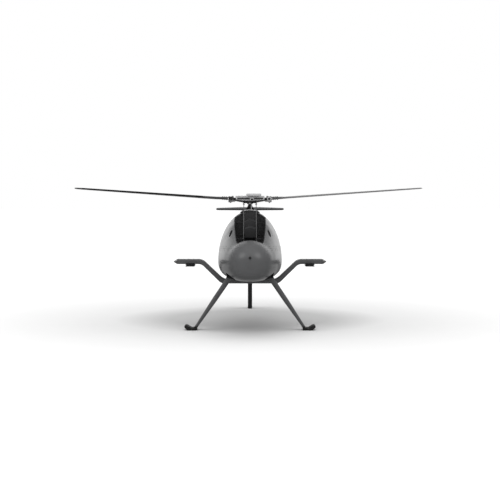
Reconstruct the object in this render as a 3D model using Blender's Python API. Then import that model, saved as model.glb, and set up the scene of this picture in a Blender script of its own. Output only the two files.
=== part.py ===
"""Unmanned helicopter with a teardrop body, a two-blade rotor and a T-tail, standing on its gear.

Metres, +Z up. The nose points to -Y and the aircraft's port side is +X. The floor is z = 0.
"""

import math

import bmesh
import bpy
from mathutils import Matrix, Vector

# Driving dimensions
TOTAL_LENGTH = 3.11
ROTOR_DIAMETER = 3.40
NOSE_TO_MAST = 1.075
FIT_GAP = 0.0003
SKIN = 0.012

# Stations along the body
PROBE_TIP_Y = -TOTAL_LENGTH / 2
NOSE_Y = PROBE_TIP_Y + 0.025
MAST_Y = PROBE_TIP_Y + NOSE_TO_MAST
TAIL_END_Y = TOTAL_LENGTH / 2
NOSE_SPLIT_Y = -1.36
HULL_END_Y = 0.36
BOOM_END_Y = 1.33

# Throat of the air intake
LIP_Y = -1.24
THROAT_REAR_Y = -0.535
THROAT_FLOOR_Z = 0.800
TRAY_WALL = 0.010
SHROUD_HALF = 0.054
SLOPE_FOOT_Y = -0.650
SLOPE_TOP = (THROAT_REAR_Y - FIT_GAP, 1.12)
GRILLE_PITCH = 0.019
GRILLE_OPENING = 0.0125
GRILLE_DEPTH = 0.004
GRILLE_ROWS = range(3, 16)
SHROUD_STEPS = ((1.1395, -0.572), (1.050, -0.612), (0.972, -0.655))
SHROUD_ARCH = 0.018
COLLAR_RISE = 0.0145

# Oval slot in each side of the cowl, given for the port side
SLOT_CENTRE = (0.1812, -0.8858, 0.9297)
SLOT_ALONG = (-0.141, 0.873, 0.466)
SLOT_OUTWARD = (0.670, -0.263, 0.695)
SLOT_HALF_LENGTH = 0.0626
SLOT_HALF_WIDTH = 0.0171
SLOT_REACH = (-0.020, 0.050)

# The seam between hull and cowl climbs a little towards the nose
SEAM_Z = 0.768
SEAM_TILT = math.radians(3.0)

# Rotor heights
BOOT_BASE_Z = 1.1485
BOOT_TOP_Z = 1.196
SWASH_Z = 1.2068
SWASH_TOP_Z = 1.2148
EAR_BOTTOM_Z = 1.2098
DISH_TOP_Z = 1.2317
YOKE_BOTTOM_Z = 1.2325
YOKE_TOP_Z = 1.280
CAP_TOP_Z = 1.304
YOKE_HALF = 0.145
YOKE_DEPTH = 0.036
FEATHER_Z = 1.2392
CONING = math.radians(3.90)
ROTOR_YAW = math.radians(3.8)
GEARBOX_TOP_Z = 1.060
MAST_RADIUS = 0.014

# Rubber boot round the mast: radius and height of its outer side
BOOT_PROFILE = (
    (0.054, BOOT_BASE_Z + FIT_GAP), (0.051, 1.1535), (0.034, 1.165), (0.0240, 1.178), (0.0185, BOOT_TOP_Z),
)
BOOT_WALL = 0.0025

# Round cap on the yoke, in the rotor's frame
CAP_PLACE = (0.037, 0.0)
CAP_RADIUS = 0.073

# Tail rotor
TAIL_HUB_Y = 1.225
TAIL_HUB_Z = 0.785
TAIL_ROTOR_RADIUS = 0.28
TAIL_DISC_X = 0.108

# Landing gear
LEG_TOP = Vector((0.190, -0.762, 0.511))
LEG_FOOT = Vector((0.5200, -0.742, 0.0230))
LEG_OVERRUN = 0.10
LEG_WIDTHS = ((0.0, 0.055, 0.084), (0.15, 0.0535, 0.080), (0.54, 0.0470, 0.068), (0.88, 0.0325, 0.055),
              (1.0, 0.0265, 0.050))
FOOT_HALF_LENGTH = 0.062
FOOT_TOP_Z = 0.0228
FOOT_HOOK = (
    (0.506, 0.004), (0.511, 0.0), (0.590, 0.0), (0.600, 0.003), (0.624, 0.024), (0.628, 0.036),
    (0.622, 0.046), (0.611, 0.049), (0.598, 0.0445), (0.560, FOOT_TOP_Z), (0.506, FOOT_TOP_Z),
)

# Notch in the hull that each leg's bracket fills, given for the port side
NOTCH = ((0.137, 0.400), (0.137, 0.5196), (0.180, 0.5520), (0.226, 0.5790), (0.214, 0.5200), (0.214, 0.400))
NOTCH_FRONT_Y = -1.250
NOTCH_REAR_Y = -0.690
LINING = 0.006
BLOCK_FRONT_Y = -0.830
SEAT_START = (0.137, 0.4870)
SEAT_SLOPE = 0.2472
FLANGE_SPAN = (0.1385, 0.2265)

# Body outline: station y against half width, widest height, top height and bottom height
BODY_STATIONS = (
    (NOSE_Y, 0.000, 0.690, 0.690, 0.690),
    (-1.520, 0.053, 0.694, 0.741, 0.645),
    (-1.490, 0.103, 0.697, 0.785, 0.597),
    (-1.430, 0.148, 0.697, 0.826, 0.555),
    (-1.340, 0.186, 0.694, 0.857, 0.5245),
    (-1.240, 0.215, 0.690, 0.880, 0.506),
    (-1.100, 0.250, 0.682, 0.925, 0.4925),
    (-0.900, 0.285, 0.670, 1.000, 0.4775),
    (-0.700, 0.305, 0.660, 1.080, 0.4655),
    (-0.500, 0.309, 0.657, 1.134, 0.4600),
    (-0.250, 0.300, 0.664, 1.136, 0.4610),
    (0.050, 0.259, 0.695, 1.090, 0.502),
    (0.360, 0.200, 0.735, 1.010, 0.583),
    (0.700, 0.138, 0.772, 0.924, 0.660),
    (1.000, 0.092, 0.785, 0.868, 0.704),
    (BOOM_END_Y, 0.062, 0.785, 0.842, 0.728),
)
RING_PLACES = (
    -1.5275, -1.520, -1.507, -1.490, -1.465, -1.43, -1.38, -1.32, -1.24, -1.15, -1.06, -0.96, -0.86, -0.77,
    -0.68, -0.59, -0.48, -0.36, -0.22, -0.06, 0.11, 0.28, 0.45, 0.64, 0.84, 1.05, 1.20,
)
RING_POINTS = 36
LOWER_POWER = 2.47
NOSE_ROUND = 0.040
NOSE_CURVE = 8.2
BOOM_CAP = 0.018

# Floor and beam levels
BEAM_BOTTOM_Z = 0.4259
ARM_BOTTOM_Z = 0.616
ARM_TOP_Z = 0.6635
ARM_HALF_CHORD = 0.055
ARM_LOWER_LINE = (
    (0.236, BEAM_BOTTOM_Z), (0.2673, 0.4290), (0.288, 0.4385), (0.3062, 0.4512), (0.4034, 0.5470),
    (0.4420, 0.5860), (0.4560, 0.6000), (0.4720, 0.6095), (0.4960, ARM_BOTTOM_Z), (0.705, ARM_BOTTOM_Z),
)
ARM_UPPER_LINE = (
    (0.745, 0.640), (0.712, ARM_TOP_Z), (0.505, ARM_TOP_Z), (0.4820, 0.6590), (0.4565, 0.6478),
    (0.4330, 0.6310), (0.4074, 0.6100), (0.3092, 0.5165), (0.2700, 0.4835), (0.245, 0.4690), (0.205, 0.4660),
)
RAIL_BOTTOM_Z = 0.596
GRIP_END = 0.215
PIN_Z = 1.2450

# Main blades: radius, chord and thickness, and the pitch angles in degrees
BLADE_PLAN = (
    (GRIP_END + FIT_GAP, 0.062, 0.0260),
    (0.250, 0.072, 0.0250),
    (0.290, 0.098, 0.0220),
    (0.330, 0.118, 0.0190),
    (0.420, 0.124, 0.0172),
    (0.900, 0.112, 0.0155),
    (1.400, 0.098, 0.0145),
    (1.640, 0.090, 0.0135),
    (1.682, 0.080, 0.0120),
    (ROTOR_DIAMETER / 2, 0.050, 0.0080),
)
BLADE_PITCH = 7.0
BLADE_TWIST = 2.5
CYCLIC_PITCH = 2.8

# Light plate and arm on the side of each blade grip, in the blade's frame
GRIP_PLATE = (
    (0.158, 0.022), (0.163, 0.027), (0.209, 0.027), (0.214, 0.022), (0.206, -0.012),
    (0.193, -0.038), (0.186, -0.042), (0.179, -0.038), (0.166, -0.012),
)
GRIP_EYE_PLACE = (0.186, 0.002)
GRIP_EYE_RADIUS = 0.0130
GRIP_ARM = ((0.1475, -0.0245), (0.1475, -0.0140), (0.176, -0.0170), (0.182, -0.0300))


def clear_scene():
    """Remove whatever the scene holds."""
    for item in list(bpy.data.objects):
        bpy.data.objects.remove(item, do_unlink=True)


def material(name, colour, roughness, metallic=0.0):
    """Return a Principled material made from plain values."""
    made = bpy.data.materials.get(name)
    if made is None:
        made = bpy.data.materials.new(name)
        made.use_nodes = True
        shader = made.node_tree.nodes["Principled BSDF"]
        shader.inputs["Base Color"].default_value = (*colour, 1.0)
        shader.inputs["Roughness"].default_value = roughness
        shader.inputs["Metallic"].default_value = metallic
    return made


def body_paint():
    """Satin grey paint of the body and fins."""
    return material("body_paint", (0.20, 0.205, 0.21), 0.42)


def dark_composite():
    """Dark composite of the rotor blades."""
    return material("dark_composite", (0.10, 0.10, 0.10), 0.50)


def black_plastic():
    """Matt black of the throat and small fittings."""
    return material("black_plastic", (0.015, 0.015, 0.016), 0.55)


def black_rubber():
    """Rubber of the boot, the feet and the tail shoe."""
    return material("black_rubber", (0.012, 0.012, 0.012), 0.75)


def bare_metal():
    """Machined aluminium of the rotor head and frames."""
    return material("bare_metal", (0.55, 0.56, 0.57), 0.32, 1.0)


def strut_paint():
    """Dark satin paint of the legs and arms."""
    return material("strut_paint", (0.12, 0.122, 0.125), 0.45)


def finish(name, mesh, paint, smooth_angle=35.0):
    """Link a mesh as the named object, shade it and give it its paint."""
    mesh.name = name
    mesh.materials.clear()
    mesh.materials.append(paint)
    mesh.shade_smooth()
    mesh.set_sharp_from_angle(angle=math.radians(smooth_angle))
    made = bpy.data.objects.new(name, mesh)
    bpy.context.collection.objects.link(made)
    return made


def mesh_from(vertices, faces):
    """Build a closed mesh with its faces turned outwards."""
    mesh = bpy.data.meshes.new("shape")
    mesh.from_pydata([tuple(point) for point in vertices], [], faces)
    shape = bmesh.new()
    shape.from_mesh(mesh)
    bmesh.ops.recalc_face_normals(shape, faces=shape.faces)
    shape.to_mesh(mesh)
    shape.free()
    return mesh


def loft(rings, start_tip=None, end_tip=None, split=False):
    """Join rings of equal size into a closed solid, with flat or pointed ends.

    With split, each side face is cut into two triangles, the same way on nested forms and
    mirrored on the two sides, so that forms that differ only by an inset stay clear of each other.
    """
    count = len(rings[0])
    vertices = [point for ring in rings for point in ring]
    faces = []
    for level in range(len(rings) - 1):
        for index in range(count):
            following = (index + 1) % count
            near, near_next = level * count + index, level * count + following
            far, far_next = near + count, near_next + count
            if not split:
                faces.append((near, near_next, far_next, far))
            elif count // 4 <= index < count * 3 // 4:
                faces.extend(((near, near_next, far), (near_next, far_next, far)))
            else:
                faces.extend(((near, near_next, far_next), (near, far_next, far)))
    last = (len(rings) - 1) * count
    if start_tip is None:
        faces.append(tuple(range(count)))
    else:
        vertices.append(start_tip)
        tip = len(vertices) - 1
        faces.extend((index, (index + 1) % count, tip) for index in range(count))
    if end_tip is None:
        faces.append(tuple(range(last, last + count)))
    else:
        vertices.append(end_tip)
        tip = len(vertices) - 1
        faces.extend((last + index, last + (index + 1) % count, tip) for index in range(count))
    return mesh_from(vertices, faces)


# Faces of a box whose corners run round one end and then round the other
BOX_FACES = ((0, 1, 2, 3), (4, 5, 6, 7), (0, 1, 5, 4), (1, 2, 6, 5), (2, 3, 7, 6), (3, 0, 4, 7))


def prism(outline, low, high, axis="Y"):
    """Extrude an outline along an axis. The outline's points are the other two coordinates."""
    def place(point, depth):
        first, second = point
        if axis == "X":
            return (depth, first, second)
        if axis == "Y":
            return (first, depth, second)
        return (first, second, depth)
    return loft([[place(point, low) for point in outline], [place(point, high) for point in outline]])


def box(low, high):
    """Return a box mesh between two corners."""
    outline = ((low[0], low[2]), (high[0], low[2]), (high[0], high[2]), (low[0], high[2]))
    return prism(outline, low[1], high[1])


def circle(radius, count):
    """Return the points of a circle about the origin."""
    angles = [math.tau * index / count for index in range(count)]
    return [(radius * math.cos(angle), radius * math.sin(angle)) for angle in angles]


def grown(outline, distance):
    """Return a clockwise outline moved outwards by a distance."""
    made = []
    for index, point in enumerate(outline):
        here = Vector(point)
        before = (here - Vector(outline[index - 1])).normalized()
        after = (Vector(outline[(index + 1) % len(outline)]) - here).normalized()
        first, second = Vector((-before.y, before.x)), Vector((-after.y, after.x))
        made.append(tuple(here + (first + second) * (distance / (1.0 + first.dot(second)))))
    return made


def turned(profile, count, centre=(0.0, 0.0)):
    """Turn a profile of radius and height about a vertical axis into a solid with flat ends."""
    rings = []
    for radius, height in profile:
        rings.append([(centre[0] + x, centre[1] + y, height) for x, y in circle(radius, count)])
    return loft(rings)


def turned_ring(profile, count, centre=(0.0, 0.0)):
    """Turn a closed profile of radius and height into a ring with a bore."""
    steps = len(profile)
    vertices = []
    for index in range(count):
        across, along = math.cos(math.tau * index / count), math.sin(math.tau * index / count)
        for radius, height in profile:
            vertices.append((centre[0] + radius * across, centre[1] + radius * along, height))
    faces = []
    for index in range(count):
        following = (index + 1) % count
        for step in range(steps):
            after = (step + 1) % steps
            faces.append((
                index * steps + step,
                index * steps + after,
                following * steps + after,
                following * steps + step,
            ))
    return mesh_from(vertices, faces)


def rod(start, end, radius, count=10, end_radius=None):
    """Return a round bar between two points."""
    start, end = Vector(start), Vector(end)
    turn = (end - start).to_track_quat("Z", "Y")
    rings = []
    for point, size in ((start, radius), (end, radius if end_radius is None else end_radius)):
        rings.append([point + turn @ Vector((x, y, 0.0)) for x, y in circle(size, count)])
    return loft(rings)


def combine(mesh, other, operation):
    """Apply an exact Boolean of two meshes and return the result."""
    base = bpy.data.objects.new("base", mesh)
    tool = bpy.data.objects.new("tool", other)
    for item in (base, tool):
        bpy.context.collection.objects.link(item)
    modifier = base.modifiers.new("cut", "BOOLEAN")
    modifier.operation = operation
    modifier.solver = "EXACT"
    modifier.object = tool
    evaluated = base.evaluated_get(bpy.context.evaluated_depsgraph_get())
    result = bpy.data.meshes.new_from_object(evaluated)
    for item in (base, tool):
        bpy.data.objects.remove(item, do_unlink=True)
    return result


def cut(mesh, other):
    """Return a mesh with another taken away from it."""
    return combine(mesh, other, "DIFFERENCE")


def keep(mesh, other):
    """Return what two meshes share."""
    return combine(mesh, other, "INTERSECT")


def fuse(mesh, *others):
    """Return several meshes joined into one closed body."""
    for other in others:
        mesh = combine(mesh, other, "UNION")
    return mesh


def moved(mesh, matrix):
    """Move a mesh's points by a matrix."""
    mesh.transform(matrix)
    return mesh


def smooth_value(stations, column, y):
    """Read one column of the station list at y along a monotone cubic curve."""
    places = [row[0] for row in stations]
    values = [row[column] for row in stations]
    slopes = [(values[i + 1] - values[i]) / (places[i + 1] - places[i]) for i in range(len(places) - 1)]
    tangents = [slopes[0]]
    for i in range(1, len(slopes)):
        before, after = slopes[i - 1], slopes[i]
        tangents.append(0.0 if before * after <= 0.0 else 2.0 * before * after / (before + after))
    tangents.append(slopes[-1])
    i = 0
    while i < len(slopes) - 1 and y > places[i + 1]:
        i += 1
    step = places[i + 1] - places[i]
    t = (y - places[i]) / step
    return (
        values[i] * (1 + 2 * t) * (1 - t) ** 2
        + step * tangents[i] * t * (1 - t) ** 2
        + values[i + 1] * t * t * (3 - 2 * t)
        + step * tangents[i + 1] * t * t * (t - 1)
    )


def body_section(y, inset=0.0):
    """Return half width, widest height, top height and bottom height at a station.

    Near the nose the section shrinks along an elliptical curve, so that the nose is round.
    """
    place = max(y, NOSE_Y + NOSE_ROUND)
    half_width, widest, top, bottom = (smooth_value(BODY_STATIONS, column, place) for column in (1, 2, 3, 4))
    depth = min(y - NOSE_Y, NOSE_ROUND)
    full = 2.0 * NOSE_ROUND - NOSE_CURVE * NOSE_ROUND ** 2
    share = math.sqrt(max(0.0, 2.0 * depth - NOSE_CURVE * depth ** 2) / full)
    half_width *= share
    top = widest + (top - widest) * share
    bottom = widest + (bottom - widest) * share
    return half_width - inset, widest, top - inset, bottom + inset


def body_ring(y, inset=0.0):
    """Return the ring of skin points at a station: a half ellipse above a squarer lower half."""
    half_width, widest, top, bottom = body_section(y, inset)
    ring = []
    for index in range(RING_POINTS):
        angle = math.tau * index / RING_POINTS
        across, up = math.cos(angle), math.sin(angle)
        if up >= 0.0:
            ring.append((half_width * across, y, widest + (top - widest) * up))
        else:
            x = math.copysign(abs(across) ** (2.0 / LOWER_POWER), across)
            drop = abs(up) ** (2.0 / LOWER_POWER)
            ring.append((half_width * x, y, widest - (widest - bottom) * drop))
    return ring


def body_form(inset=0.0, first=None, last=BOOM_END_Y):
    """Return the body as a solid, inset or outset from the true skin."""
    stations = list(RING_PLACES)
    if first is not None:
        stations = [first] + [y for y in stations if y > first + 0.01]
    stations = [y for y in stations if y < last - 0.01] + [last]
    rings = [body_ring(y, inset) for y in stations]
    tip = None
    if first is None:
        tip = (0.0, NOSE_Y + inset, body_section(NOSE_Y)[1])
    closing = (0.0, last + BOOM_CAP - inset, body_section(last)[1]) if last == BOOM_END_Y else None
    return loft(rings, start_tip=tip, end_tip=closing, split=True)


def above_seam(gap):
    """Return a large block whose underside is the seam plane, moved up by a gap."""
    block = box((-1.0, -3.0, 0.0), (1.0, 3.0, 2.0))
    place = Matrix.Translation((0.0, MAST_Y, SEAM_Z + gap)) @ Matrix.Rotation(-SEAM_TILT, 4, "X")
    return moved(block, place)


def throat_outline(inset=0.0):
    """Return the throat's cross-section across the body, wider towards the top."""
    right = ((0.104, 0.700), (0.108, 0.845), (0.127, 0.862), (0.1325, 0.885), (0.1435, 0.940), (0.151, 1.000),
             (0.150, 1.250))
    right = [(x - inset, z) for x, z in right]
    return right + [(-x, z) for x, z in reversed(right)]


def sided(point, side):
    """Return a port-side point on the wanted side."""
    return Vector((side * point[0], point[1], point[2]))


def slot_cutter(side):
    """Return the slanted oval that pierces one side of the cowl."""
    centre = sided(SLOT_CENTRE, side)
    along = sided(SLOT_ALONG, side).normalized()
    outward = sided(SLOT_OUTWARD, side).normalized()
    across = along.cross(outward).normalized()
    rings = []
    for depth in SLOT_REACH:
        rings.append([
            centre + outward * depth + along * (SLOT_HALF_LENGTH * x) + across * (SLOT_HALF_WIDTH * y)
            for x, y in circle(1.0, 20)
        ])
    return loft(rings)


def leg_notch(side, grow=0.0, front=NOTCH_FRONT_Y):
    """Return the notch of one leg as a block, grown by a distance."""
    outline = [(side * x, z) for x, z in grown(NOTCH, grow)]
    return prism(outline, front - max(grow, 0.0), NOTCH_REAR_Y + grow)


def seat_height(x):
    """Return the height of the sloping seat that a leg's bracket offers to the leg."""
    return SEAT_START[1] + (x - SEAT_START[0]) * SEAT_SLOPE


def seat_block(side, shift, low, high):
    """Return a block under (low) or over (high) the seat, moved down by a shift."""
    inner, outer = 0.05, 0.45
    outline = [(inner, seat_height(inner) - shift), (outer, seat_height(outer) - shift)]
    outline += [(outer, high)] if low is None else [(outer, low)]
    outline += [(inner, high)] if low is None else [(inner, low)]
    return prism([(side * x, z) for x, z in outline], -1.6, -0.4)


def build_fuselage():
    """Nose cap, hollow lower hull and hollow upper cowl with its throat and side slots."""
    skin = cut(body_form(), body_form(SKIN, first=NOSE_SPLIT_Y + 0.02, last=HULL_END_Y + 0.10))
    nose = keep(body_form(), box((-1.0, -2.0, 0.0), (1.0, NOSE_SPLIT_Y - FIT_GAP, 2.0)))
    finish("nose_cap", nose, body_paint())

    middle = keep(skin, box((-1.0, NOSE_SPLIT_Y, 0.0), (1.0, HULL_END_Y, 2.0)))
    lower = cut(middle.copy(), above_seam(0.0))
    for side in (-1, 1):
        lower = cut(lower, leg_notch(side))
    finish("lower_hull", lower, body_paint())

    upper = keep(middle, above_seam(FIT_GAP))
    upper = cut(upper, prism(throat_outline(), LIP_Y, THROAT_REAR_Y))
    upper = cut(upper, turned(((0.032, 1.0), (0.032, 1.3)), 20, (0.0, MAST_Y)))
    for side in (-1, 1):
        upper = cut(upper, slot_cutter(side))
    finish("upper_cowl", upper, body_paint())


def build_tail_boom():
    """Solid boom behind the hull, with a rounded end."""
    boom = cut(body_form(), box((-1.0, -2.0, 0.0), (1.0, HULL_END_Y + FIT_GAP, 2.0)))
    finish("tail_boom", boom, body_paint())


def build_mast_collar():
    """Raised fairing on top of the cowl around the mast, with its arched front rim."""
    collar = keep(body_form(-COLLAR_RISE), turned(((0.098, 1.0), (0.092, 1.3)), 28, (0.0, MAST_Y + 0.010)))
    collar = cut(collar, body_form(-FIT_GAP))
    collar = cut(collar, box((-0.3, -1.0, 1.0), (0.3, THROAT_REAR_Y, 1.3)))
    collar = cut(collar, turned(((0.030, 1.0), (0.030, 1.3)), 20, (0.0, MAST_Y)))
    finish("mast_collar", collar, body_paint())


def build_bulkheads():
    """Two frames inside the hull that carry the engine."""
    for name, y in (("bulkhead_front", -0.545), ("bulkhead_rear", -0.110)):
        plate = keep(body_form(SKIN + FIT_GAP), box((-0.6, y, 0.30), (0.6, y + 0.012, SEAM_Z - 0.02)))
        finish(name, plate, bare_metal())


def build_engine():
    """Engine between the bulkheads, one plain block, with the gearbox on it."""
    engine = box((-0.140, -0.533 + FIT_GAP, 0.520), (0.140, -0.110 - FIT_GAP, 0.740))
    finish("engine_block", engine, bare_metal())
    gearbox = box((-0.075, -0.5325, 0.740 + FIT_GAP), (0.075, -0.400, GEARBOX_TOP_Z))
    finish("main_gearbox", gearbox, bare_metal())


def grille_pockets(side, foot, top):
    """Return the square pockets of one grille panel, in rows up its sloping front face."""
    up = (top - foot).normalized()
    inward = up.cross(Vector((1.0, 0.0, 0.0))).normalized()
    half = GRILLE_OPENING / 2
    vertices, faces = [], []
    for row in GRILLE_ROWS:
        level = foot + up * (row + 0.5) * GRILLE_PITCH
        room = 0.130 if row < 6 else 0.140 - 0.0105 * max(0, row - 10)
        columns = int((room - SHROUD_HALF) / GRILLE_PITCH)
        for column in range(columns):
            centre = level + Vector((side * (SHROUD_HALF + (column + 0.62) * GRILLE_PITCH), 0.0, 0.0))
            start = len(vertices)
            for depth in (-0.02, GRILLE_DEPTH):
                for across, along in ((-half, -half), (half, -half), (half, half), (-half, half)):
                    vertices.append(centre + Vector((across, 0.0, 0.0)) + up * along + inward * depth)
            faces.extend([start + corner for corner in face] for face in BOX_FACES)
    return mesh_from(vertices, faces)


def build_throat():
    """Black tray under the throat, with the stepped shroud and mesh panels at its back."""
    front, rear = LIP_Y - 0.010, THROAT_REAR_Y
    block = keep(prism(throat_outline(-TRAY_WALL), front, rear), body_form(SKIN + FIT_GAP))
    block = keep(block, box((-0.3, front - 0.1, THROAT_FLOOR_Z - TRAY_WALL), (0.3, rear + 0.1, 1.3)))
    hollow = prism(throat_outline(), LIP_Y, rear + 0.02)
    hollow = keep(hollow, box((-0.3, -2.0, THROAT_FLOOR_Z), (0.3, 0.0, 1.4)))
    finish("throat_tray", cut(block, hollow), black_plastic())

    skin = body_form(0.001 - COLLAR_RISE)
    shroud = None
    for top, face in SHROUD_STEPS:
        arch = [(-SHROUD_HALF, THROAT_FLOOR_Z + FIT_GAP), (SHROUD_HALF, THROAT_FLOOR_Z + FIT_GAP)]
        for index in range(9):
            across = 1.0 - index / 4.0
            arch.append((SHROUD_HALF * across, top - SHROUD_ARCH * across * across))
        step = prism(arch, face, THROAT_REAR_Y)
        shroud = step if shroud is None else fuse(shroud, step)
    recess = box((-0.048, -0.70, THROAT_FLOOR_Z + 0.012), (0.048, -0.60, 0.872))
    shroud = keep(cut(shroud, recess), skin)
    finish("intake_shroud", shroud, black_plastic())

    for name, side in (("intake_mesh_starboard", -1), ("intake_mesh_port", 1)):
        low, high = sorted((side * (SHROUD_HALF + FIT_GAP), side * 0.20))
        floor, back = THROAT_FLOOR_Z + FIT_GAP, SLOPE_TOP[0]
        front_top = (back - 0.0167, 1.15)
        slope = ((SLOPE_FOOT_Y - 0.015, floor), (SLOPE_FOOT_Y, floor), SLOPE_TOP, (back, 1.15), front_top)
        panel = prism(slope, low, high, "X")
        panel = keep(panel, prism(throat_outline(FIT_GAP), -0.9, -0.3))
        panel = keep(panel, body_form(0.002))
        panel = cut(panel, grille_pockets(side, Vector((0.0, *slope[0])), Vector((0.0, *front_top))))
        finish(name, panel, black_plastic())


def build_controls():
    """Servos on the tray and the two long control rods up to the swashplate."""
    for name, side in (("starboard", -1), ("port", 1)):
        low, high = sorted((side * 0.070, side * 0.104))
        servo = box((low, -0.800, THROAT_FLOOR_Z + FIT_GAP), (high, -0.700, 0.876))
        finish(f"servo_{name}", servo, black_plastic())
        bottom = Vector((side * 0.0617, -0.745, 0.846))
        top = Vector((side * 0.0600, -0.548, EAR_BOTTOM_Z - 0.011))
        bar = rod(bottom, top, 0.0038, 8)
        inner, outer = side * 0.0545, side * (0.070 - FIT_GAP)
        eye = rod((inner, bottom.y, bottom.z), (outer, bottom.y, bottom.z), 0.009, 10)
        ball = rod((top.x, top.y, top.z - 0.009), (top.x, top.y, EAR_BOTTOM_Z - FIT_GAP), 0.0078, 10)
        finish(f"control_rod_{name}", fuse(bar, eye, ball), bare_metal())


def build_mast_parts():
    """Boot and fixed swashplate, which stay with the body."""
    inner = tuple((radius - BOOT_WALL, height) for radius, height in reversed(BOOT_PROFILE))
    boot = turned_ring(BOOT_PROFILE + inner, 24, (0.0, MAST_Y))
    boot = cut(boot, body_form(-FIT_GAP - COLLAR_RISE))
    finish("mast_boot", boot, black_rubber())

    neck = BOOT_TOP_Z + FIT_GAP
    plate = turned_ring(((0.0165, neck), (0.0225, neck), (0.0290, 1.2080), (0.0560, EAR_BOTTOM_Z),
                         (0.0620, 1.2120), (0.0600, SWASH_TOP_Z), (0.0165, SWASH_TOP_Z)), 28, (0.0, MAST_Y))
    for side in (-1, 1):
        reach = Vector((side * 0.060, -0.068, 0.0))
        across = Vector((-reach.y, reach.x, 0.0)).normalized() * 0.0095
        base, tip = reach * 0.45, reach * 1.11
        outline = [base - across, base + across, tip + across * 0.8, tip - across * 0.8]
        ear = loft([[(x, MAST_Y + y, z) for x, y, _ in outline] for z in (EAR_BOTTOM_Z, SWASH_TOP_Z)])
        plate = fuse(plate, ear)
    finish("swashplate_fixed", plate, black_plastic())


def hub_place():
    """Return the matrix from the rotor's own frame to the world: yawed about the mast."""
    return Matrix.Translation((0.0, MAST_Y, 0.0)) @ Matrix.Rotation(ROTOR_YAW, 4, "Z")


def blade_place(side):
    """Return the matrix of one blade's frame: its x runs outwards along the coned feather axis."""
    turn = Matrix.Rotation(0.0 if side > 0 else math.pi, 4, "Z")
    lift = Matrix.Translation((0.0, 0.0, FEATHER_Z)) @ Matrix.Rotation(-CONING, 4, "Y")
    return hub_place() @ turn @ lift


def rotor_finish(name, mesh, paint):
    """Finish a rotor piece with its origin on the mast axis."""
    origin = Matrix.Translation((0.0, MAST_Y, FEATHER_Z))
    made = finish(name, moved(mesh, origin.inverted()), paint)
    made.matrix_world = origin
    return made


def yoke_block(gap=0.0):
    """Return the yoke's outer block in the rotor's frame, grown by a gap."""
    half, depth = YOKE_HALF + gap, YOKE_DEPTH + gap
    return box((-half, -depth, YOKE_BOTTOM_Z - gap), (half, depth, YOKE_TOP_Z + gap))


def build_rotor_head():
    """Mast, rotating swashplate, yoke, teeter pin and top cap."""
    foot, head = GEARBOX_TOP_Z + FIT_GAP, YOKE_BOTTOM_Z - FIT_GAP
    mast = turned(((MAST_RADIUS, foot), (MAST_RADIUS, head)), 20, (0.0, MAST_Y))
    rotor_finish("main_mast", mast, bare_metal())

    low, seat, bore = SWASH_TOP_Z + FIT_GAP, YOKE_BOTTOM_Z - FIT_GAP, MAST_RADIUS + FIT_GAP
    dish = turned_ring(((bore, low), (0.068, low), (0.108, 1.2210), (0.136, 1.2272), (0.146, 1.2298),
                        (0.146, DISH_TOP_Z), (0.1005, DISH_TOP_Z), (0.1000, seat), (bore, seat)), 36)
    rotor_finish("swashplate_rotating", moved(dish, hub_place()), black_plastic())

    yoke = yoke_block()
    for low_x, high_x in ((-0.128, -0.030), (0.030, 0.128)):
        yoke = cut(yoke, box((low_x, -1.0, YOKE_BOTTOM_Z + 0.010), (high_x, 1.0, YOKE_TOP_Z - 0.013)))
    level = Matrix.Translation((0.0, 0.0, PIN_Z))
    bore = moved(prism(circle(0.0090 + FIT_GAP, 14), -1.0, 1.0), level)
    yoke = cut(yoke, bore)
    rotor_finish("hub_yoke", moved(yoke, hub_place()), bare_metal())

    pin = moved(prism(circle(0.0090, 14), -YOKE_DEPTH - 0.010, YOKE_DEPTH + 0.010), level)
    rotor_finish("teeter_pin", moved(pin, hub_place()), bare_metal())

    profile = (
        (CAP_RADIUS - 0.001, YOKE_TOP_Z + FIT_GAP), (CAP_RADIUS, CAP_TOP_Z - 0.018),
        (CAP_RADIUS, CAP_TOP_Z - 0.004), (CAP_RADIUS - 0.005, CAP_TOP_Z),
    )
    rotor_finish("hub_cap", moved(turned(profile, 28, CAP_PLACE), hub_place()), bare_metal())


def blade_section(radius, chord, thickness, pitch):
    """Return one aerofoil ring about the feather axis. The leading edge is at +Y and pitched up."""
    upper = ((1.00, 0.0), (0.985, 0.20), (0.93, 0.40), (0.80, 0.56), (0.62, 0.60), (0.35, 0.40))
    outline = [(x, z) for x, z in upper] + [(0.0, 0.03)]
    outline += [(0.0, -0.03)] + [(x, -0.72 * z) for x, z in reversed(upper[1:])]
    ring = []
    for along, height in outline:
        y = (along - 0.75) * chord
        z = height * thickness
        ring.append((
            radius,
            y * math.cos(pitch) - z * math.sin(pitch),
            y * math.sin(pitch) + z * math.cos(pitch),
        ))
    return ring


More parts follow.
